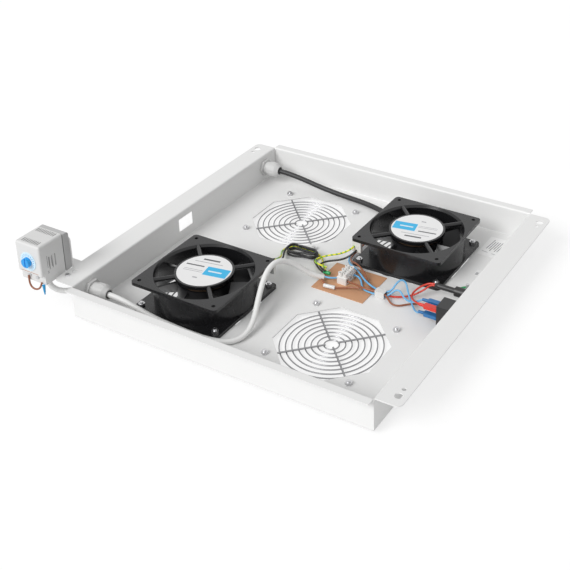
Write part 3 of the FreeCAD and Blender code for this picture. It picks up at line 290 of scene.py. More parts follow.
# ---------------------------------------------------------------------------
# Cable glands: light-grey polyamide through the left wall, each with a ribbed
# clamping nut on its neck and a soft seal that shows at the nut's mouth.
gland_plastic = finish("gland_polyamide", (0.60, 0.60, 0.595), 0.42, grain=900, depth=0.00002, vary=0.03)
dress(gland_plastic, "gland_bodies", "gland_domes", "gland_locknuts")
dress(finish("gland_seal_rubber", (0.02, 0.02, 0.02), 0.6, grain=700, depth=0.00004, vary=0.2), "gland_seals")
rib_count, rib_length, rib_width, rib_proud = 14, 0.0085, 0.0016, 0.0005
rib_start, rib_sunk, rib_round, dome_radius = 0.0018, 0.0001, 0.0002, 0.0096
dome_low, dome_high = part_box("gland_domes")
bm = bmesh.new()
for gland_y in (dome_low.y + dome_radius, dome_high.y - dome_radius):
    for i in range(rib_count):
        lean = Matrix.Rotation(2 * math.pi * i / rib_count, 4, "X")
        home = Matrix.Translation((dome_low.x + rib_start + rib_length / 2, gland_y, (dome_low.z + dome_high.z) / 2))
        out = Matrix.Translation((0, 0, dome_radius - rib_sunk))
        stretch = Matrix.Diagonal((rib_length, rib_width, 2 * rib_proud, 1))
        bmesh.ops.create_cube(bm, size=1, matrix=home @ lean @ out @ stretch)
bmesh.ops.bevel(bm, geom=bm.edges[:], offset=rib_round, affect="EDGES", segments=1, profile=0.5, material=-1)
new_piece("gland_ribs", bm, gland_plastic, "tray")


# ---------------------------------------------------------------------------
# Rocker switch: snapped into the right wall, black nylon body with a glossy
# rocker, tinned tabs behind and push-on terminals in vinyl sleeves.
def bars(name, rows, material, body):
    """Printed or pressed bars: each row is (middle, size), both three lengths in metres."""
    bm = bmesh.new()
    for middle, size in rows:
        bmesh.ops.create_cube(bm, size=1, matrix=Matrix.Translation(middle) @ Matrix.Diagonal((*size, 1)))
    return new_piece(name, bm, material, body, smooth=False)


black_nylon = finish("switch_nylon", (0.016, 0.016, 0.017), 0.4, grain=900, depth=0.00003, vary=0.12)
dress(black_nylon, "switch_body")
dress(finish("rocker_gloss", (0.012, 0.012, 0.013), 0.16, grain=500, depth=0.000005, vary=0.1),
      "switch_rocker", "fuse_cap")
tinned = finish("tinned_brass", (0.68, 0.67, 0.64), 0.3, metallic=1.0, grain=2500, depth=0.000008, vary=0.06)
dress(tinned, "switch_tabs")
blue_vinyl = finish("blue_vinyl", (0.020, 0.150, 0.38), 0.25, grain=600, depth=0.00004, vary=0.25, patch=160)
red_vinyl = finish("red_vinyl", (0.70, 0.035, 0.020), 0.25, grain=600, depth=0.00004, vary=0.15, patch=160)
dress(blue_vinyl, "connectors_blue")
dress(red_vinyl, "connector_red")
neck_seats = {"blue_vinyl": ((-0.01825, 0.0193), (-0.00825, 0.0293)), "red_vinyl": ((-0.01825, 0.0293),)}
neck_out, neck_length, neck_tip, neck_root = 0.0032, 0.0075, 0.0016, 0.0021
for name, node, vinyl, slot in (("blue_sleeve_necks", "connectors_blue", blue_vinyl, "blue_vinyl"),
                                ("red_sleeve_neck", "connector_red", red_vinyl, "red_vinyl")):
    low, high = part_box(node)
    bm = bmesh.new()
    for y, z in neck_seats[slot]:
        home = Matrix.Translation((low.x - neck_out, y, z)) @ Matrix.Rotation(math.pi / 2, 4, "Y")
        bmesh.ops.create_cone(bm, cap_ends=True, segments=28, radius1=neck_tip, radius2=neck_root,
                              depth=neck_length, matrix=home)
    new_piece(name, bm, vinyl, "tray")


# ---------------------------------------------------------------------------
# Fuse holder: black phenolic body clamped by a nut in the right wall, with a
# glass fuse inside and heat-shrink over its soldered tail.
dress(finish("fuse_phenolic", (0.017, 0.016, 0.016), 0.38, grain=1100, depth=0.00002, vary=0.15),
      "fuse_holder", "fuse_nut")
fuse_glass = finish("fuse_glass", (0.92, 0.94, 0.93), 0.06, grain=400, depth=0.000002)
fuse_glass.node_tree.nodes["Principled BSDF"].inputs["Transmission Weight"].default_value = 0.9
dress(fuse_glass, "fuse_link")
dress(finish("heat_shrink", (0.020, 0.020, 0.021), 0.42, grain=350, depth=0.00012, vary=0.15, patch=120),
      "fuse_sleeve")


# ---------------------------------------------------------------------------
# Insulating pad: a sheet of pressed brown board on the plate, with the
# three-way block of translucent nylon screwed to it.
board = finish("pressed_board", (0.58, 0.31, 0.17), 0.62, grain=1500, depth=0.00006, vary=0.12, patch=60)
dress(board, "insulating_pad")
nylon = finish("clear_nylon", (0.93, 0.92, 0.90), 0.28, grain=700, depth=0.00004, vary=0.05, patch=150)
nylon.node_tree.nodes["Principled BSDF"].inputs["Transmission Weight"].default_value = 0.12
dress(nylon, "terminal_block")
dress(zinc, "terminal_screws")
sleeve_plastic = finish("splice_plastic", (0.83, 0.83, 0.82), 0.22, grain=500, depth=0.00003, vary=0.03)
sleeve_plastic.node_tree.nodes["Principled BSDF"].inputs["Transmission Weight"].default_value = 0.15
dress(sleeve_plastic, "splice_sleeve")


# ---------------------------------------------------------------------------
# Labels on the plate: a green earth disc round the stud, a white data label
# and a small blank tab, all printed film with plain rules and no wording.
earth_green = finish("earth_green_film", (0.015, 0.33, 0.10), 0.3, grain=400, depth=0.000004, vary=0.06)
disc_low, disc_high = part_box("earth_sticker")
disc_middle = (disc_low + disc_high) / 2
stud_hole, disc_radius, disc_height = 0.0024, 0.0118, 0.00025
disc_seat = Matrix.Translation((disc_middle.x, disc_middle.y, disc_low.z))
bm = bmesh.new()
bmesh.ops.create_circle(bm, segments=64, radius=stud_hole, matrix=disc_seat)
for vert in verts_of(bmesh.ops.extrude_edge_only(bm, edges=bm.edges[:])["geom"]):
    vert.co.xy = disc_middle.xy + (vert.co.xy - disc_middle.xy) * (disc_radius / stud_hole)
risen = bmesh.ops.extrude_face_region(bm, geom=bm.faces[:])["geom"]
bmesh.ops.translate(bm, verts=verts_of(risen), vec=(0, 0, disc_height))
new_piece("earth_disc", bm, earth_green, "tray", smooth=False, replaces=("earth_sticker",))
low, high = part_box("rating_label")
label_middle = Vector(((low.x + high.x) / 2, (low.y + high.y) / 2, high.z))
rule_ink, foot_ink, tab_ink = (0.10, 0.10, 0.11), (0.25, 0.25, 0.26), (0.42, 0.42, 0.43)
rules = [(-0.0105 + 0.003 * i, 0.004 - 0.0015 * (i % 3), 0.0009, 0.024 - 0.005 * (i % 2), rule_ink) for i in range(7)]
rules += [(-0.0085, -0.0155, 0.008, 0.0008, foot_ink), (0.004, -0.0155, 0.006, 0.0008, foot_ink)]
data_film = print_film("data_label_film", (0.90, 0.90, 0.90), rules, label_middle, math.radians(-6))
dress(data_film, "rating_label")
tab_at, tab_side, tab_height = Vector((0.1925, 0.1055, 0.00612)), 0.013, 0.00022
tab_film = print_film("tab_film", (0.86, 0.86, 0.86), [(-0.0035, -0.0025, 0.0035, 0.006, tab_ink)], tab_at, 0.0)
tab_size = Matrix.Diagonal((tab_side, tab_side, tab_height, 1))
bm = bmesh.new()
bmesh.ops.create_cube(bm, size=1, matrix=Matrix.Translation(tab_at) @ tab_size)
new_piece("blank_tab", bm, tab_film, "tray", smooth=False)


# ---------------------------------------------------------------------------
# Thermostat: a light-grey snap-on housing with slotted top and side, a white
# dial with a blue knob, and its clamp base on a painted bracket.
thermo_plastic = finish("thermostat_plastic", (0.70, 0.70, 0.695), 0.4, grain=1100, depth=0.00003, vary=0.012)
dress(thermo_plastic, "thermostat_housing")
# Painted shade: the clamp base is the housing's plastic, given a darker grey that stands in for the shade it sits in
# behind the housing.
dress(finish("thermostat_plastic_painted_shade", (0.50, 0.50, 0.50), 0.45, grain=1100, depth=0.00003, vary=0.02),
      "thermostat_base")
dress(finish("knob_blue", (0.012, 0.33, 0.80), 0.28, grain=800, depth=0.00001, vary=0.05), "thermostat_knob")
dress(finish("dial_white", (0.66, 0.84, 0.95), 0.35, grain=900, depth=0.00001, vary=0.01), "thermostat_dial")
thermo_low, thermo_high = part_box("thermostat_housing")
dial_low, dial_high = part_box("thermostat_dial")
dial_x, dial_z = (dial_low.x + dial_high.x) / 2, (dial_low.z + dial_high.z) / 2
scale_ink = finish("scale_ink", (0.10, 0.38, 0.70), 0.5, grain=900, depth=0.000002)
print_proud = 0.00003
tick_count, tick_step, tick_out, tick_proud = 15, 18, 0.0088, 0.00002
tick_size = Matrix.Diagonal((0.0006, 0.00008, 0.0020, 1))
bm = bmesh.new()
for i in range(tick_count):
    lean = Matrix.Rotation(math.radians(tick_step * (i - (tick_count - 1) / 2)), 4, "Y")
    home = Matrix.Translation((dial_x, dial_low.y - tick_proud, dial_z))
    bmesh.ops.create_cube(bm, size=1, matrix=home @ lean @ Matrix.Translation((0, 0, tick_out)) @ tick_size)
new_piece("dial_scale", bm, scale_ink, "tray", smooth=False)
warm_ink = finish("warm_ink", (0.42, 0.16, 0.07), 0.5, grain=900, depth=0.000002)
bars("front_rule", [((dial_x, thermo_low.y - print_proud, thermo_low.z + 0.0146), (0.027, 0.0001, 0.0005))],
     warm_ink, "tray")
side_ink = finish("side_ink", (0.20, 0.20, 0.21), 0.5, grain=900, depth=0.000002)
side_x, side_y = thermo_high.x + print_proud, thermo_low.y + 0.0105
side_rows = [((side_x, side_y + 0.0021 * column, thermo_low.z + 0.0275 - 0.0006 * column),
              (0.0001, 0.0005, 0.0155 - 0.0035 * (column % 2))) for column in (0, 1, 3)]
side_rows += [((side_x, side_y, thermo_low.z + height), (0.0001, 0.0022, 0.0006)) for height in (0.0155, 0.0135)]
bars("side_rules", side_rows, side_ink, "tray")
# Painted shade: thin dark strips laid just under the top of each slot stand in for the shade inside the slots.
slot_painted_shade = finish("slot_shadow", (0.06, 0.06, 0.06), 0.8, grain=600, depth=0.00002)
slot_step, slot_width, slot_length, slot_sunk = 0.0029, 0.0013, 0.0070, 0.0009
slot_x, slot_z = (thermo_low.x + thermo_high.x) / 2, thermo_high.z - slot_sunk
slot_lines = ((thermo_low.y + 0.0075, 9), (thermo_high.y - 0.0050, 10))
slot_rows = [((slot_x + (i - (count - 1) / 2) * slot_step, row_y, slot_z), (slot_width, slot_length, 0.0001))
             for row_y, count in slot_lines for i in range(count)]
bars("slot_painted_shade_strips", slot_rows, slot_painted_shade, "tray")
blue_ferrule = finish("ferrule_blue", (0.010, 0.30, 0.62), 0.25, grain=600, depth=0.00002)
ferrule_x, ferrule_y = thermo_high.x - 0.0028, thermo_low.y + 0.0035
bm = bmesh.new()
for sides, tip, root, depth, drop in ((28, 0.0011, 0.0019, 0.0095, 0.0047), (20, 0.0008, 0.0009, 0.003, 0.0105)):
    bmesh.ops.create_cone(bm, cap_ends=True, segments=sides, radius1=tip, radius2=root, depth=depth,
                          matrix=Matrix.Translation((ferrule_x, ferrule_y, thermo_low.z - drop)))
new_piece("blue_ferrule", bm, blue_ferrule, "tray")


# ---------------------------------------------------------------------------
# Supply lead: 7 mm black round cord. It runs from the wire ends on the plate
# through the rear gland, winds four times beside the left wall under the
# flange, where it is tied, and ends in a flat three-pin plug.
def cord_line(name, points, diameter, material, slot, *nodes):
    """A cord as one smooth spline whose control points are the route's points."""
    line = bpy.data.curves.new(name, "CURVE")
    line.dimensions = "3D"
    spline = line.splines.new("NURBS")
    spline.points.add(len(points) - 1)
    for point, place in zip(spline.points, points):
        point.co = (*place, 1)
    spline.order_u = 3
    spline.use_endpoint_u = True
    spline.resolution_u = 8
    line.bevel_depth = diameter / 2
    line.bevel_resolution = 3
    line.use_fill_caps = True
    line.materials.append(material)
    piece = bpy.data.objects.new(name, line)
    bpy.context.scene.collection.objects.link(piece)
    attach(piece, "tray")
    if nodes:
        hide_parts(*nodes)
    return piece


def fold(middle, radius, start, steps, height, way):
    """The control points of a half turn of a wound cord; way is 1 anticlockwise and -1 clockwise."""
    step = math.pi / steps
    reach = radius / math.cos(step / 2)
    return [(middle[0] + reach * math.cos(start + way * step * (i + 0.5)),
             middle[1] + reach * math.sin(start + way * step * (i + 0.5)), height) for i in range(steps)]


supply_cable_route = [
    (-0.2255, 0.13375, 0.0178), (-0.2255, 0.14985, 0.0206), (-0.2149, 0.16815, 0.0252),
    (-0.1966, 0.17875, 0.0268), (-0.143, 0.17875, 0.0268), (-0.116, 0.18025, 0.0235),
    (-0.092, 0.18275, 0.0175), (-0.066, 0.18495, 0.0122), (-0.04, 0.18495, 0.0102),
    (-0.016, 0.18335, 0.0099), (0.006, 0.17915, 0.0099), (0.022, 0.17375, 0.0099)]
supply_end_route = [
    (-0.1835, 0.19375, 0.0038), (-0.1835, 0.20865, 0.0038), (-0.1736, 0.22585, 0.0042),
    (-0.1564, 0.23575, 0.006), (-0.135, 0.23575, 0.0073), (-0.113, 0.23575, 0.0073)]
hank_turns = [
    ((-0.2045, 0.09375), (-0.2045, 0.19575), 0.0210, 0.0178), ((-0.2045, 0.09375), (-0.2045, 0.19575), 0.0210, 0.0108),
    ((-0.2115, 0.10075), (-0.2115, 0.18875), 0.0210, 0.0038), ((-0.2115, 0.10075), (-0.2115, 0.18875), 0.0280, 0.0038)]
fold_steps, fold_lead, ramp_start, ramp_end = 9, 0.007, 0.1878, 0.1385
supply_points = list(reversed(supply_cable_route))
for turn, (near, far, radius, height) in enumerate(hank_turns):
    supply_points.append((near[0] - radius, near[1] + fold_lead, height))
    supply_points += fold(near, radius, math.pi, fold_steps, height, 1)
    supply_points.append((near[0] + radius, near[1] + fold_lead, height))
    if turn < len(hank_turns) - 1:
        supply_points.append((far[0] + radius, far[1] - fold_lead, height))
        supply_points += fold(far, radius, 0.0, fold_steps, height, 1)
        below = hank_turns[turn + 1]
        supply_points.append((far[0] - radius, ramp_start, height))
        supply_points.append((below[0][0] - below[2], ramp_end, below[3]))
supply_points += supply_end_route
supply_rubber = finish("supply_sheath", (0.018, 0.018, 0.019), 0.45, grain=900, depth=0.00003, vary=0.15)
supply_cord = cord_line("supply_lead", supply_points, 0.007, supply_rubber, "cable_black",
                        "supply_cable", "supply_hank")
dress(finish("plug_rubber", (0.018, 0.018, 0.019), 0.5, grain=600, depth=0.00005, vary=0.15), "supply_plug")
plug_low, plug_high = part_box("supply_plug")
plug_y, plug_z = (plug_low.y + plug_high.y) / 2, 0.0073
pin_pitch, pin_length, pin_radius, pin_fit = 0.0095, 0.019, 0.00204, 0.00001
bm = bmesh.new()
for i in (-1, 0, 1):
    pin_at = Matrix.Translation((plug_high.x - pin_length / 2 + pin_fit, plug_y + i * pin_pitch, plug_z))
    bmesh.ops.create_cone(bm, cap_ends=True, segments=32, radius1=pin_radius, radius2=pin_radius,
                          depth=pin_length - 0.0001, matrix=pin_at @ Matrix.Rotation(math.pi / 2, 4, "Y"))
plug_pins = new_piece("plug_pins", bm, tinned, "tray")
tie_start, tie_width, tie_round, tie_thick = 0.1425, 0.0036, 0.0012, 0.0002
tie_rings = (
    ((-0.2428, 0.0002), (-0.2428, 0.0076), (-0.2296, 0.0214), (-0.2218, 0.0214), (-0.2218, 0.0002)),
    ((-0.1942, 0.0002), (-0.1942, 0.0076), (-0.1874, 0.0214), (-0.1796, 0.0214), (-0.1796, 0.0002)))
bm = bmesh.new()
for ring in tie_rings:
    corners = [bm.verts.new((x, tie_start, z)) for x, z in ring]
    hoop = [bm.edges.new((corners[i], corners[i - 1])) for i in range(len(corners))]
    band = bmesh.ops.extrude_edge_only(bm, edges=hoop)["geom"]
    bmesh.ops.translate(bm, verts=verts_of(band), vec=(0, tie_width, 0))
creases = [edge for edge in bm.edges if abs(edge.verts[0].co.y - edge.verts[1].co.y) > tie_width / 2]
bmesh.ops.bevel(bm, geom=creases, offset=tie_round, affect="EDGES", segments=4, profile=0.5, material=-1)
bmesh.ops.recalc_face_normals(bm, faces=bm.faces[:])
bmesh.ops.solidify(bm, geom=bm.faces[:], thickness=tie_thick)
hank_ties = new_piece("hank_ties", bm, black_nylon, "tray")


# ---------------------------------------------------------------------------
# Thermostat cable: 6.5 mm white round cord from under the thermostat through
# the front gland, then in an arch beside the front fan to the block.
thermostat_cable_route = [
    (-0.2245, -0.18825, 0.041), (-0.2245, -0.18825, 0.031), (-0.2218, -0.18625, 0.0215),
    (-0.214, -0.18075, 0.0155), (-0.2025, -0.17475, 0.0165), (-0.192, -0.17145, 0.0225),
    (-0.1795, -0.17125, 0.0268), (-0.143, -0.17125, 0.0268), (-0.127, -0.17065, 0.0253),
    (-0.11, -0.16885, 0.0205), (-0.091, -0.16645, 0.0136), (-0.068, -0.16525, 0.0101),
    (-0.037, -0.16605, 0.0098), (-0.013, -0.16565, 0.0098), (0.005, -0.16125, 0.0098),
    (0.017, -0.15125, 0.01), (0.02, -0.13525, 0.0115), (0.016, -0.11725, 0.017), (0.009, -0.09925, 0.028),
    (0.003, -0.08025, 0.0405), (-0.0005, -0.06025, 0.0484), (0.0015, -0.04325, 0.0478),
    (0.0075, -0.02925, 0.0395), (0.0165, -0.01875, 0.0275), (0.025, -0.00975, 0.017),
    (0.035, -0.00125, 0.011)]
white_pvc = finish("white_sheath", (0.84, 0.84, 0.83), 0.34, grain=700, depth=0.00003, vary=0.015)
thermostat_cord = cord_line("thermostat_lead", thermostat_cable_route, 0.0065, white_pvc, "cable_white",
                            "thermostat_cable")


# ---------------------------------------------------------------------------
# Fan leads: a 2.4 mm black lead and a 2.2 mm green and yellow earth wire from
# each fan's clip to the block; the front one is folded into a loose bundle.
def striped(name, base, stripe):
    """Wire insulation with a stripe that winds along it."""
    material = finish(name, base, 0.32, grain=900, depth=0.00001, vary=0.02)
    nodes, links = material.node_tree.nodes, material.node_tree.links
    place = next(node for node in nodes if node.type == "TEX_COORD")
    bands = nodes.new("ShaderNodeTexWave")
    bands.bands_direction = "DIAGONAL"
    bands.inputs["Scale"].default_value = 60
    edge = nodes.new("ShaderNodeMath")
    edge.operation = "GREATER_THAN"
    edge.inputs[1].default_value = 0.72
    mix = nodes.new("ShaderNodeMix")
    mix.data_type = "RGBA"
    mix.inputs["A"].default_value = (*base, 1)
    mix.inputs["B"].default_value = (*stripe, 1)
    links.new(place.outputs["Object"], bands.inputs["Vector"])
    links.new(bands.outputs["Fac"], edge.inputs[0])
    links.new(edge.outputs["Value"], mix.inputs["Factor"])
    links.new(mix.outputs["Result"], nodes["Principled BSDF"].inputs["Base Color"])
    return material


def run_wire(name, route, diameter, insulation, slot, length, *nodes):
    """A wire drawn as a smooth spline through its route between two fixed ends."""
    wire = cord_line(name, route, diameter, insulation, slot, *nodes)


fan_front_lead_route = [
    (-0.02, -0.03935, 0.035), (-0.02, -0.03025, 0.035), (-0.023, -0.01725, 0.028),
    (-0.0275, -0.00325, 0.0175), (-0.0315, 0.01175, 0.0095), (-0.0373, 0.02725, 0.009)]
fan_front_lead_end_route = [
    (0.003, 0.02825, 0.009), (0.012, 0.02075, 0.0084), (0.021, 0.01325, 0.0088), (0.0325, 0.00715, 0.011)]
fan_front_earth_route = [
    (-0.016, -0.03935, 0.035), (-0.016, -0.03025, 0.035), (-0.0185, -0.01625, 0.03),
    (-0.025, -0.00125, 0.0225), (-0.0345, 0.01275, 0.0155), (-0.0425, 0.02575, 0.01),
    (-0.044, 0.03775, 0.0078), (-0.0365, 0.04625, 0.0075), (-0.024, 0.04835, 0.0075),
    (-0.011, 0.04715, 0.0075), (0.0025, 0.04405, 0.0077), (0.0123, 0.03445, 0.0084),
    (0.0205, 0.02125, 0.01), (0.0325, 0.01065, 0.011)]
fan_back_lead_route = [
    (0.053, 0.04685, 0.028), (0.053, 0.04075, 0.028), (0.048, 0.03475, 0.0235), (0.0385, 0.03375, 0.0175),
    (0.028, 0.03175, 0.0143), (0.0203, 0.02525, 0.0138), (0.019, 0.01625, 0.0148),
    (0.0245, 0.00955, 0.0152), (0.0325, 0.00715, 0.0143)]
fan_back_earth_route = [
    (0.05, 0.04685, 0.033), (0.05, 0.04225, 0.033), (0.0465, 0.03745, 0.0305), (0.039, 0.03725, 0.0255),
    (0.03, 0.03975, 0.0195), (0.019, 0.03975, 0.015), (0.0105, 0.03325, 0.0132), (0.0085, 0.02275, 0.0145),
    (0.014, 0.01425, 0.017), (0.023, 0.01095, 0.0184), (0.0325, 0.01065, 0.0176)]
bundle_turns = [(0.0062, 0.0160), (0.0078, 0.0133), (0.0064, 0.0106), (0.0080, 0.0079)]
bundle_left, bundle_right, bundle_steps = (-0.0300, 0.03375), (-0.0040, 0.03375), 5
front_points = fan_front_lead_route[:-1] + [(-0.0385, 0.0250, 0.0125)]
for turn, (radius, height) in enumerate(bundle_turns):
    start = math.pi * (1.08 if turn == 0 else 1.5)
    front_points += fold(bundle_left, radius, start, bundle_steps, height, -1)
    front_points.append((bundle_left[0] + 0.004, bundle_left[1] + radius, height))
    front_points.append((bundle_right[0] - 0.004, bundle_right[1] + radius, height))
    front_points += fold(bundle_right, radius, math.pi * 0.5, bundle_steps, height, -1)
    if turn < len(bundle_turns) - 1:
        below = bundle_turns[turn + 1]
        front_points.append((bundle_right[0] - 0.006, bundle_right[1] - radius, height))
        front_points.append((bundle_left[0] + 0.006, bundle_left[1] - below[0], below[1]))
front_points = front_points[:-2] + fan_front_lead_end_route
black_pvc = finish("black_insulation", (0.016, 0.016, 0.017), 0.35, grain=900, depth=0.00002, vary=0.15)
earth_pvc = striped("earth_insulation", (0.80, 0.76, 0.02), (0.16, 0.42, 0.03))
front_lead = cord_line("fan_front_lead_bundle", front_points, 0.0024, black_pvc, "wire_black",
                       "fan_front_lead", "fan_front_coil")
run_wire("fan_front_earth_wire", fan_front_earth_route, 0.0022, earth_pvc, "wire_earth", 0.183, "fan_front_earth")
run_wire("fan_back_lead_wire", fan_back_lead_route, 0.0024, black_pvc, "wire_black", 0.071, "fan_back_lead")
run_wire("fan_back_earth_wire", fan_back_earth_route, 0.0022, earth_pvc, "wire_earth", 0.091, "fan_back_earth")


# ---------------------------------------------------------------------------
# Hook-up wires: 2.2 mm blue, brown and red, crimped or soldered to the supply
# lead's ends, the block, the switch and the fuse, with two short cores out of
# the white cable, two crimps and the brown loop under the thermostat.
blue_supply_route = [
    (0.02155, 0.17235, 0.0099), (0.02815, 0.17012, 0.0099), (0.0339, 0.16295, 0.0094),
    (0.036, 0.15255, 0.0087), (0.0365, 0.13075, 0.0086), (0.0361, 0.10075, 0.0087),
    (0.0363, 0.07175, 0.0087), (0.0385, 0.05275, 0.0095), (0.046, 0.04125, 0.0105),
    (0.058, 0.03425, 0.012), (0.07, 0.02605, 0.0124), (0.082, 0.01625, 0.0123), (0.095, 0.00895, 0.0122),
    (0.107, 0.00615, 0.012), (0.1175, 0.00635, 0.0121), (0.1223, 0.01075, 0.0152),
    (0.124, 0.01625, 0.0205), (0.1275, 0.02205, 0.0245), (0.133, 0.02425, 0.0215),
    (0.137, 0.02025, 0.0158), (0.1435, 0.01225, 0.0122), (0.1525, 0.00175, 0.0108),
    (0.161, -0.00875, 0.0115), (0.169, -0.01625, 0.0155), (0.174, -0.01825, 0.0193),
    (0.1779, -0.01825, 0.0193)]
blue_load_route = [
    (0.061, 0.02175, 0.011), (0.069, 0.02175, 0.011), (0.0765, 0.01725, 0.0098), (0.082, 0.00925, 0.0084),
    (0.0885, 0.00325, 0.008), (0.098, 0.00195, 0.0082), (0.108, 0.00255, 0.0086),
    (0.1175, 0.00265, 0.0088), (0.123, 0.00625, 0.0128), (0.1273, 0.00925, 0.0173),
    (0.133, 0.00995, 0.0176), (0.138, 0.00695, 0.0139), (0.145, 0.00275, 0.013), (0.154, -0.00175, 0.016),
    (0.1625, -0.00605, 0.022), (0.169, -0.00825, 0.028), (0.174, -0.00825, 0.0293),
    (0.1779, -0.00825, 0.0293)]
brown_supply_route = [
    (0.02253, 0.17525, 0.0099), (0.0301, 0.17269, 0.0099), (0.0369, 0.16435, 0.0099),
    (0.0391, 0.15295, 0.0096), (0.0396, 0.13075, 0.0095), (0.0392, 0.10075, 0.0096),
    (0.0394, 0.07175, 0.0096), (0.0406, 0.05475, 0.0102), (0.0468, 0.04365, 0.013),
    (0.059, 0.03775, 0.016), (0.072, 0.03025, 0.015), (0.083, 0.02025, 0.011), (0.091, 0.01225, 0.0084),
    (0.1005, 0.00605, 0.0086), (0.1105, 0.00605, 0.0086)]
brown_load_route = [
    (0.061, 0.00575, 0.011), (0.069, 0.00575, 0.011), (0.0775, 0.00425, 0.0114), (0.087, 0.00155, 0.012),
    (0.098, 0.00155, 0.0121), (0.108, 0.00245, 0.012), (0.118, 0.00215, 0.0116), (0.124, -0.00225, 0.0094),
    (0.1305, -0.00625, 0.0077), (0.1385, -0.00475, 0.0074), (0.145, 0.00225, 0.0074),
    (0.1525, 0.00725, 0.008), (0.162, 0.00675, 0.0105), (0.1715, 0.00225, 0.014),
    (0.179, -0.00425, 0.0175), (0.1825, -0.00825, 0.0193), (0.1873, -0.00825, 0.0193)]
red_fuse_route = [
    (0.1105, 0.00605, 0.0086), (0.1185, 0.00605, 0.0086), (0.1255, 0.00775, 0.0082),
    (0.133, 0.01155, 0.0082), (0.1405, 0.01625, 0.009), (0.1485, 0.02125, 0.0118), (0.157, 0.02625, 0.018),
    (0.163, 0.02915, 0.0248), (0.1678, 0.02915, 0.0248)]
red_switch_route = [
    (0.1678, 0.03235, 0.0248), (0.162, 0.03235, 0.0248), (0.1535, 0.02775, 0.0215),
    (0.1485, 0.01825, 0.019), (0.149, 0.00775, 0.0188), (0.1545, -0.00275, 0.0218),
    (0.1625, -0.01175, 0.026), (0.1703, -0.01825, 0.0293), (0.1779, -0.01825, 0.0293)]
blue_pvc = finish("blue_insulation", (0.16, 0.45, 0.74), 0.3, grain=900, depth=0.00001, vary=0.04)
brown_pvc = finish("brown_insulation", (0.30, 0.10, 0.045), 0.32, grain=900, depth=0.00001, vary=0.06)
red_pvc = finish("red_insulation", (0.66, 0.045, 0.022), 0.3, grain=900, depth=0.00001, vary=0.05)
terminal_loop_route = [
    (-0.2315, -0.2088, 0.0470), (-0.2312, -0.2092, 0.0390), (-0.2290, -0.2096, 0.0340), (-0.2240, -0.2098, 0.0318),
    (-0.2180, -0.2096, 0.0330), (-0.2135, -0.2090, 0.0375), (-0.2120, -0.2085, 0.0430)]
brown_core_route = [
    (0.0330, -0.0032, 0.0112), (0.0390, -0.0085, 0.0105), (0.0470, -0.0125, 0.0095), (0.0570, -0.0115, 0.0092),
    (0.0680, -0.0065, 0.0100), (0.0770, -0.0025, 0.0115), (0.0850, -0.0018, 0.0122)]
blue_core_route = [
    (0.0335, 0.0002, 0.0118), (0.0390, -0.0012, 0.0125), (0.0450, 0.0005, 0.0125), (0.0505, 0.0050, 0.0118),
    (0.0535, 0.0110, 0.0112), (0.0570, 0.0137, 0.0110), (0.0620, 0.0138, 0.0110)]
hook_up = 0.0022
for name, route, insulation, slot, length in (
        ("terminal_loop", terminal_loop_route, brown_pvc, "wire_brown", 0.034),
        ("brown_core", brown_core_route, brown_pvc, "wire_brown", 0.056),
        ("blue_core", blue_core_route, blue_pvc, "wire_blue", 0.036)):
    run_wire(name, route, hook_up, insulation, slot, length)
crimp_round = 0.0007
for name, cover, slot, place, length, radius, lean in (
        ("green_crimp", earth_green, "green_sticker", (0.0340, 0.0088, 0.0118), 0.0090, 0.0022, 0.0),
        ("clear_crimp", sleeve_plastic, "white_plastic", (0.0500, -0.0124, 0.0096), 0.0150, 0.0024, 0.12)):
    home = Matrix.Translation(place) @ Matrix.Rotation(lean, 4, "Z") @ Matrix.Rotation(math.pi / 2, 4, "Y")
    bm = bmesh.new()
    bmesh.ops.create_cone(bm, cap_ends=True, segments=28, radius1=radius, radius2=radius, depth=length, matrix=home)
    ends = [edge for edge in bm.edges if any(len(face.verts) > 4 for face in edge.link_faces)]
    bmesh.ops.bevel(bm, geom=ends, offset=crimp_round, affect="EDGES", segments=3, profile=0.5, material=-1)
    new_piece(name, bm, cover, "tray")
for name, route, insulation, slot, length, node in (
        ("blue_supply_wire", blue_supply_route, blue_pvc, "wire_blue", 0.316, "blue_supply"),
        ("blue_load_wire", blue_load_route, blue_pvc, "wire_blue", 0.138, "blue_load"),
        ("brown_supply_wire", brown_supply_route, brown_pvc, "wire_brown", 0.217, "brown_supply"),
        ("brown_load_wire", brown_load_route, brown_pvc, "wire_brown", 0.140, "brown_load"),
        ("red_fuse_wire", red_fuse_route, red_pvc, "wire_red", 0.067, "red_fuse"),
        ("red_switch_wire", red_switch_route, red_pvc, "wire_red", 0.079, "red_switch")):
    run_wire(name, route, hook_up, insulation, slot, length, node)


# ---------------------------------------------------------------------------
# Floor and light: a plain white floor that keeps the soft shadow, a broad
# soft sun from the front left and an even white room.
bm = bmesh.new()
bmesh.ops.create_grid(bm, x_segments=1, y_segments=1, size=4.0, matrix=Matrix.Translation((0, 0, -0.0002)))
floor_mesh = bpy.data.meshes.new("floor")
bm.to_mesh(floor_mesh)
bm.free()
floor = bpy.data.objects.new("floor", floor_mesh)
bpy.context.scene.collection.objects.link(floor)


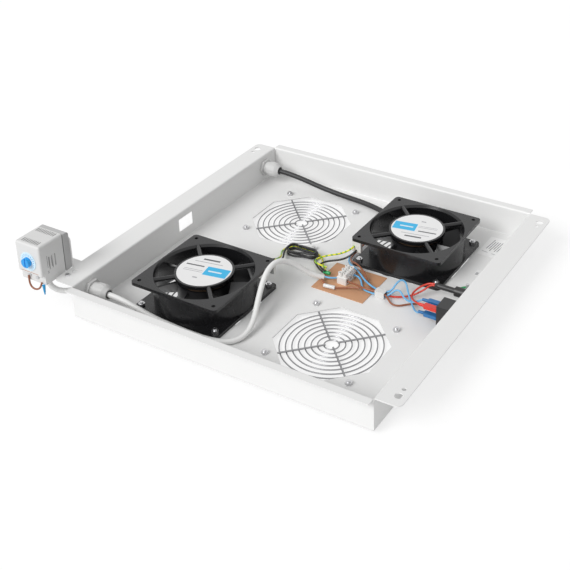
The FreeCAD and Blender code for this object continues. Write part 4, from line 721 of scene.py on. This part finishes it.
def seen_ray(tree):
    """One where a ray comes from the camera, or off gloss or through glass."""
    path = tree.nodes.new("ShaderNodeLightPath")
    seen = path.outputs["Is Camera Ray"]
    for kind in ("Is Glossy Ray", "Is Transmission Ray"):
        either = tree.nodes.new("ShaderNodeMath")
        either.operation = "MAXIMUM"
        tree.links.new(seen, either.inputs[0])
        tree.links.new(path.outputs[kind], either.inputs[1])
        seen = either.outputs["Value"]
    return seen


paper = bpy.data.materials.new("floor_paper")
paper.use_nodes = True
tree = paper.node_tree
tree.nodes.remove(tree.nodes["Principled BSDF"])
plain = tree.nodes.new("ShaderNodeBsdfDiffuse")
plain.inputs["Color"].default_value = (0.8, 0.8, 0.8, 1)
shaded = tree.nodes.new("ShaderNodeBsdfDiffuse")
shaded.inputs["Color"].default_value = (0.33, 0.33, 0.33, 1)
glow = tree.nodes.new("ShaderNodeEmission")
glow.inputs["Color"].default_value = (1, 1, 1, 1)
glow.inputs["Strength"].default_value = 0.71
white = tree.nodes.new("ShaderNodeAddShader")
choice = tree.nodes.new("ShaderNodeMixShader")
tree.links.new(shaded.outputs["BSDF"], white.inputs[0])
tree.links.new(glow.outputs["Emission"], white.inputs[1])
tree.links.new(seen_ray(tree), choice.inputs["Fac"])
tree.links.new(plain.outputs["BSDF"], choice.inputs[1])
tree.links.new(white.outputs["Shader"], choice.inputs[2])
tree.links.new(choice.outputs["Shader"], tree.nodes["Material Output"].inputs["Surface"])
floor_mesh.materials.append(paper)

room = bpy.data.worlds.new("room")
room.use_nodes = True
tree = room.node_tree
background = tree.nodes["Background"]
background.inputs["Color"].default_value = (1, 1, 1, 1)
level = tree.nodes.new("ShaderNodeMapRange")
level.inputs["To Min"].default_value = 0.53
level.inputs["To Max"].default_value = 1.0
tree.links.new(seen_ray(tree), level.inputs["Value"])
tree.links.new(level.outputs["Result"], background.inputs["Strength"])
bpy.context.scene.world = room

sun = bpy.data.lights.new("soft_sun", "SUN")
sun.energy = 2.05
sun.angle = math.radians(30)
lamp = bpy.data.objects.new("soft_sun", sun)
lamp.rotation_euler = Vector((-0.25, -0.75, 0.62)).to_track_quat("Z", "Y").to_euler()
bpy.context.scene.collection.objects.link(lamp)
bpy.context.scene.view_settings.view_transform = "Standard"
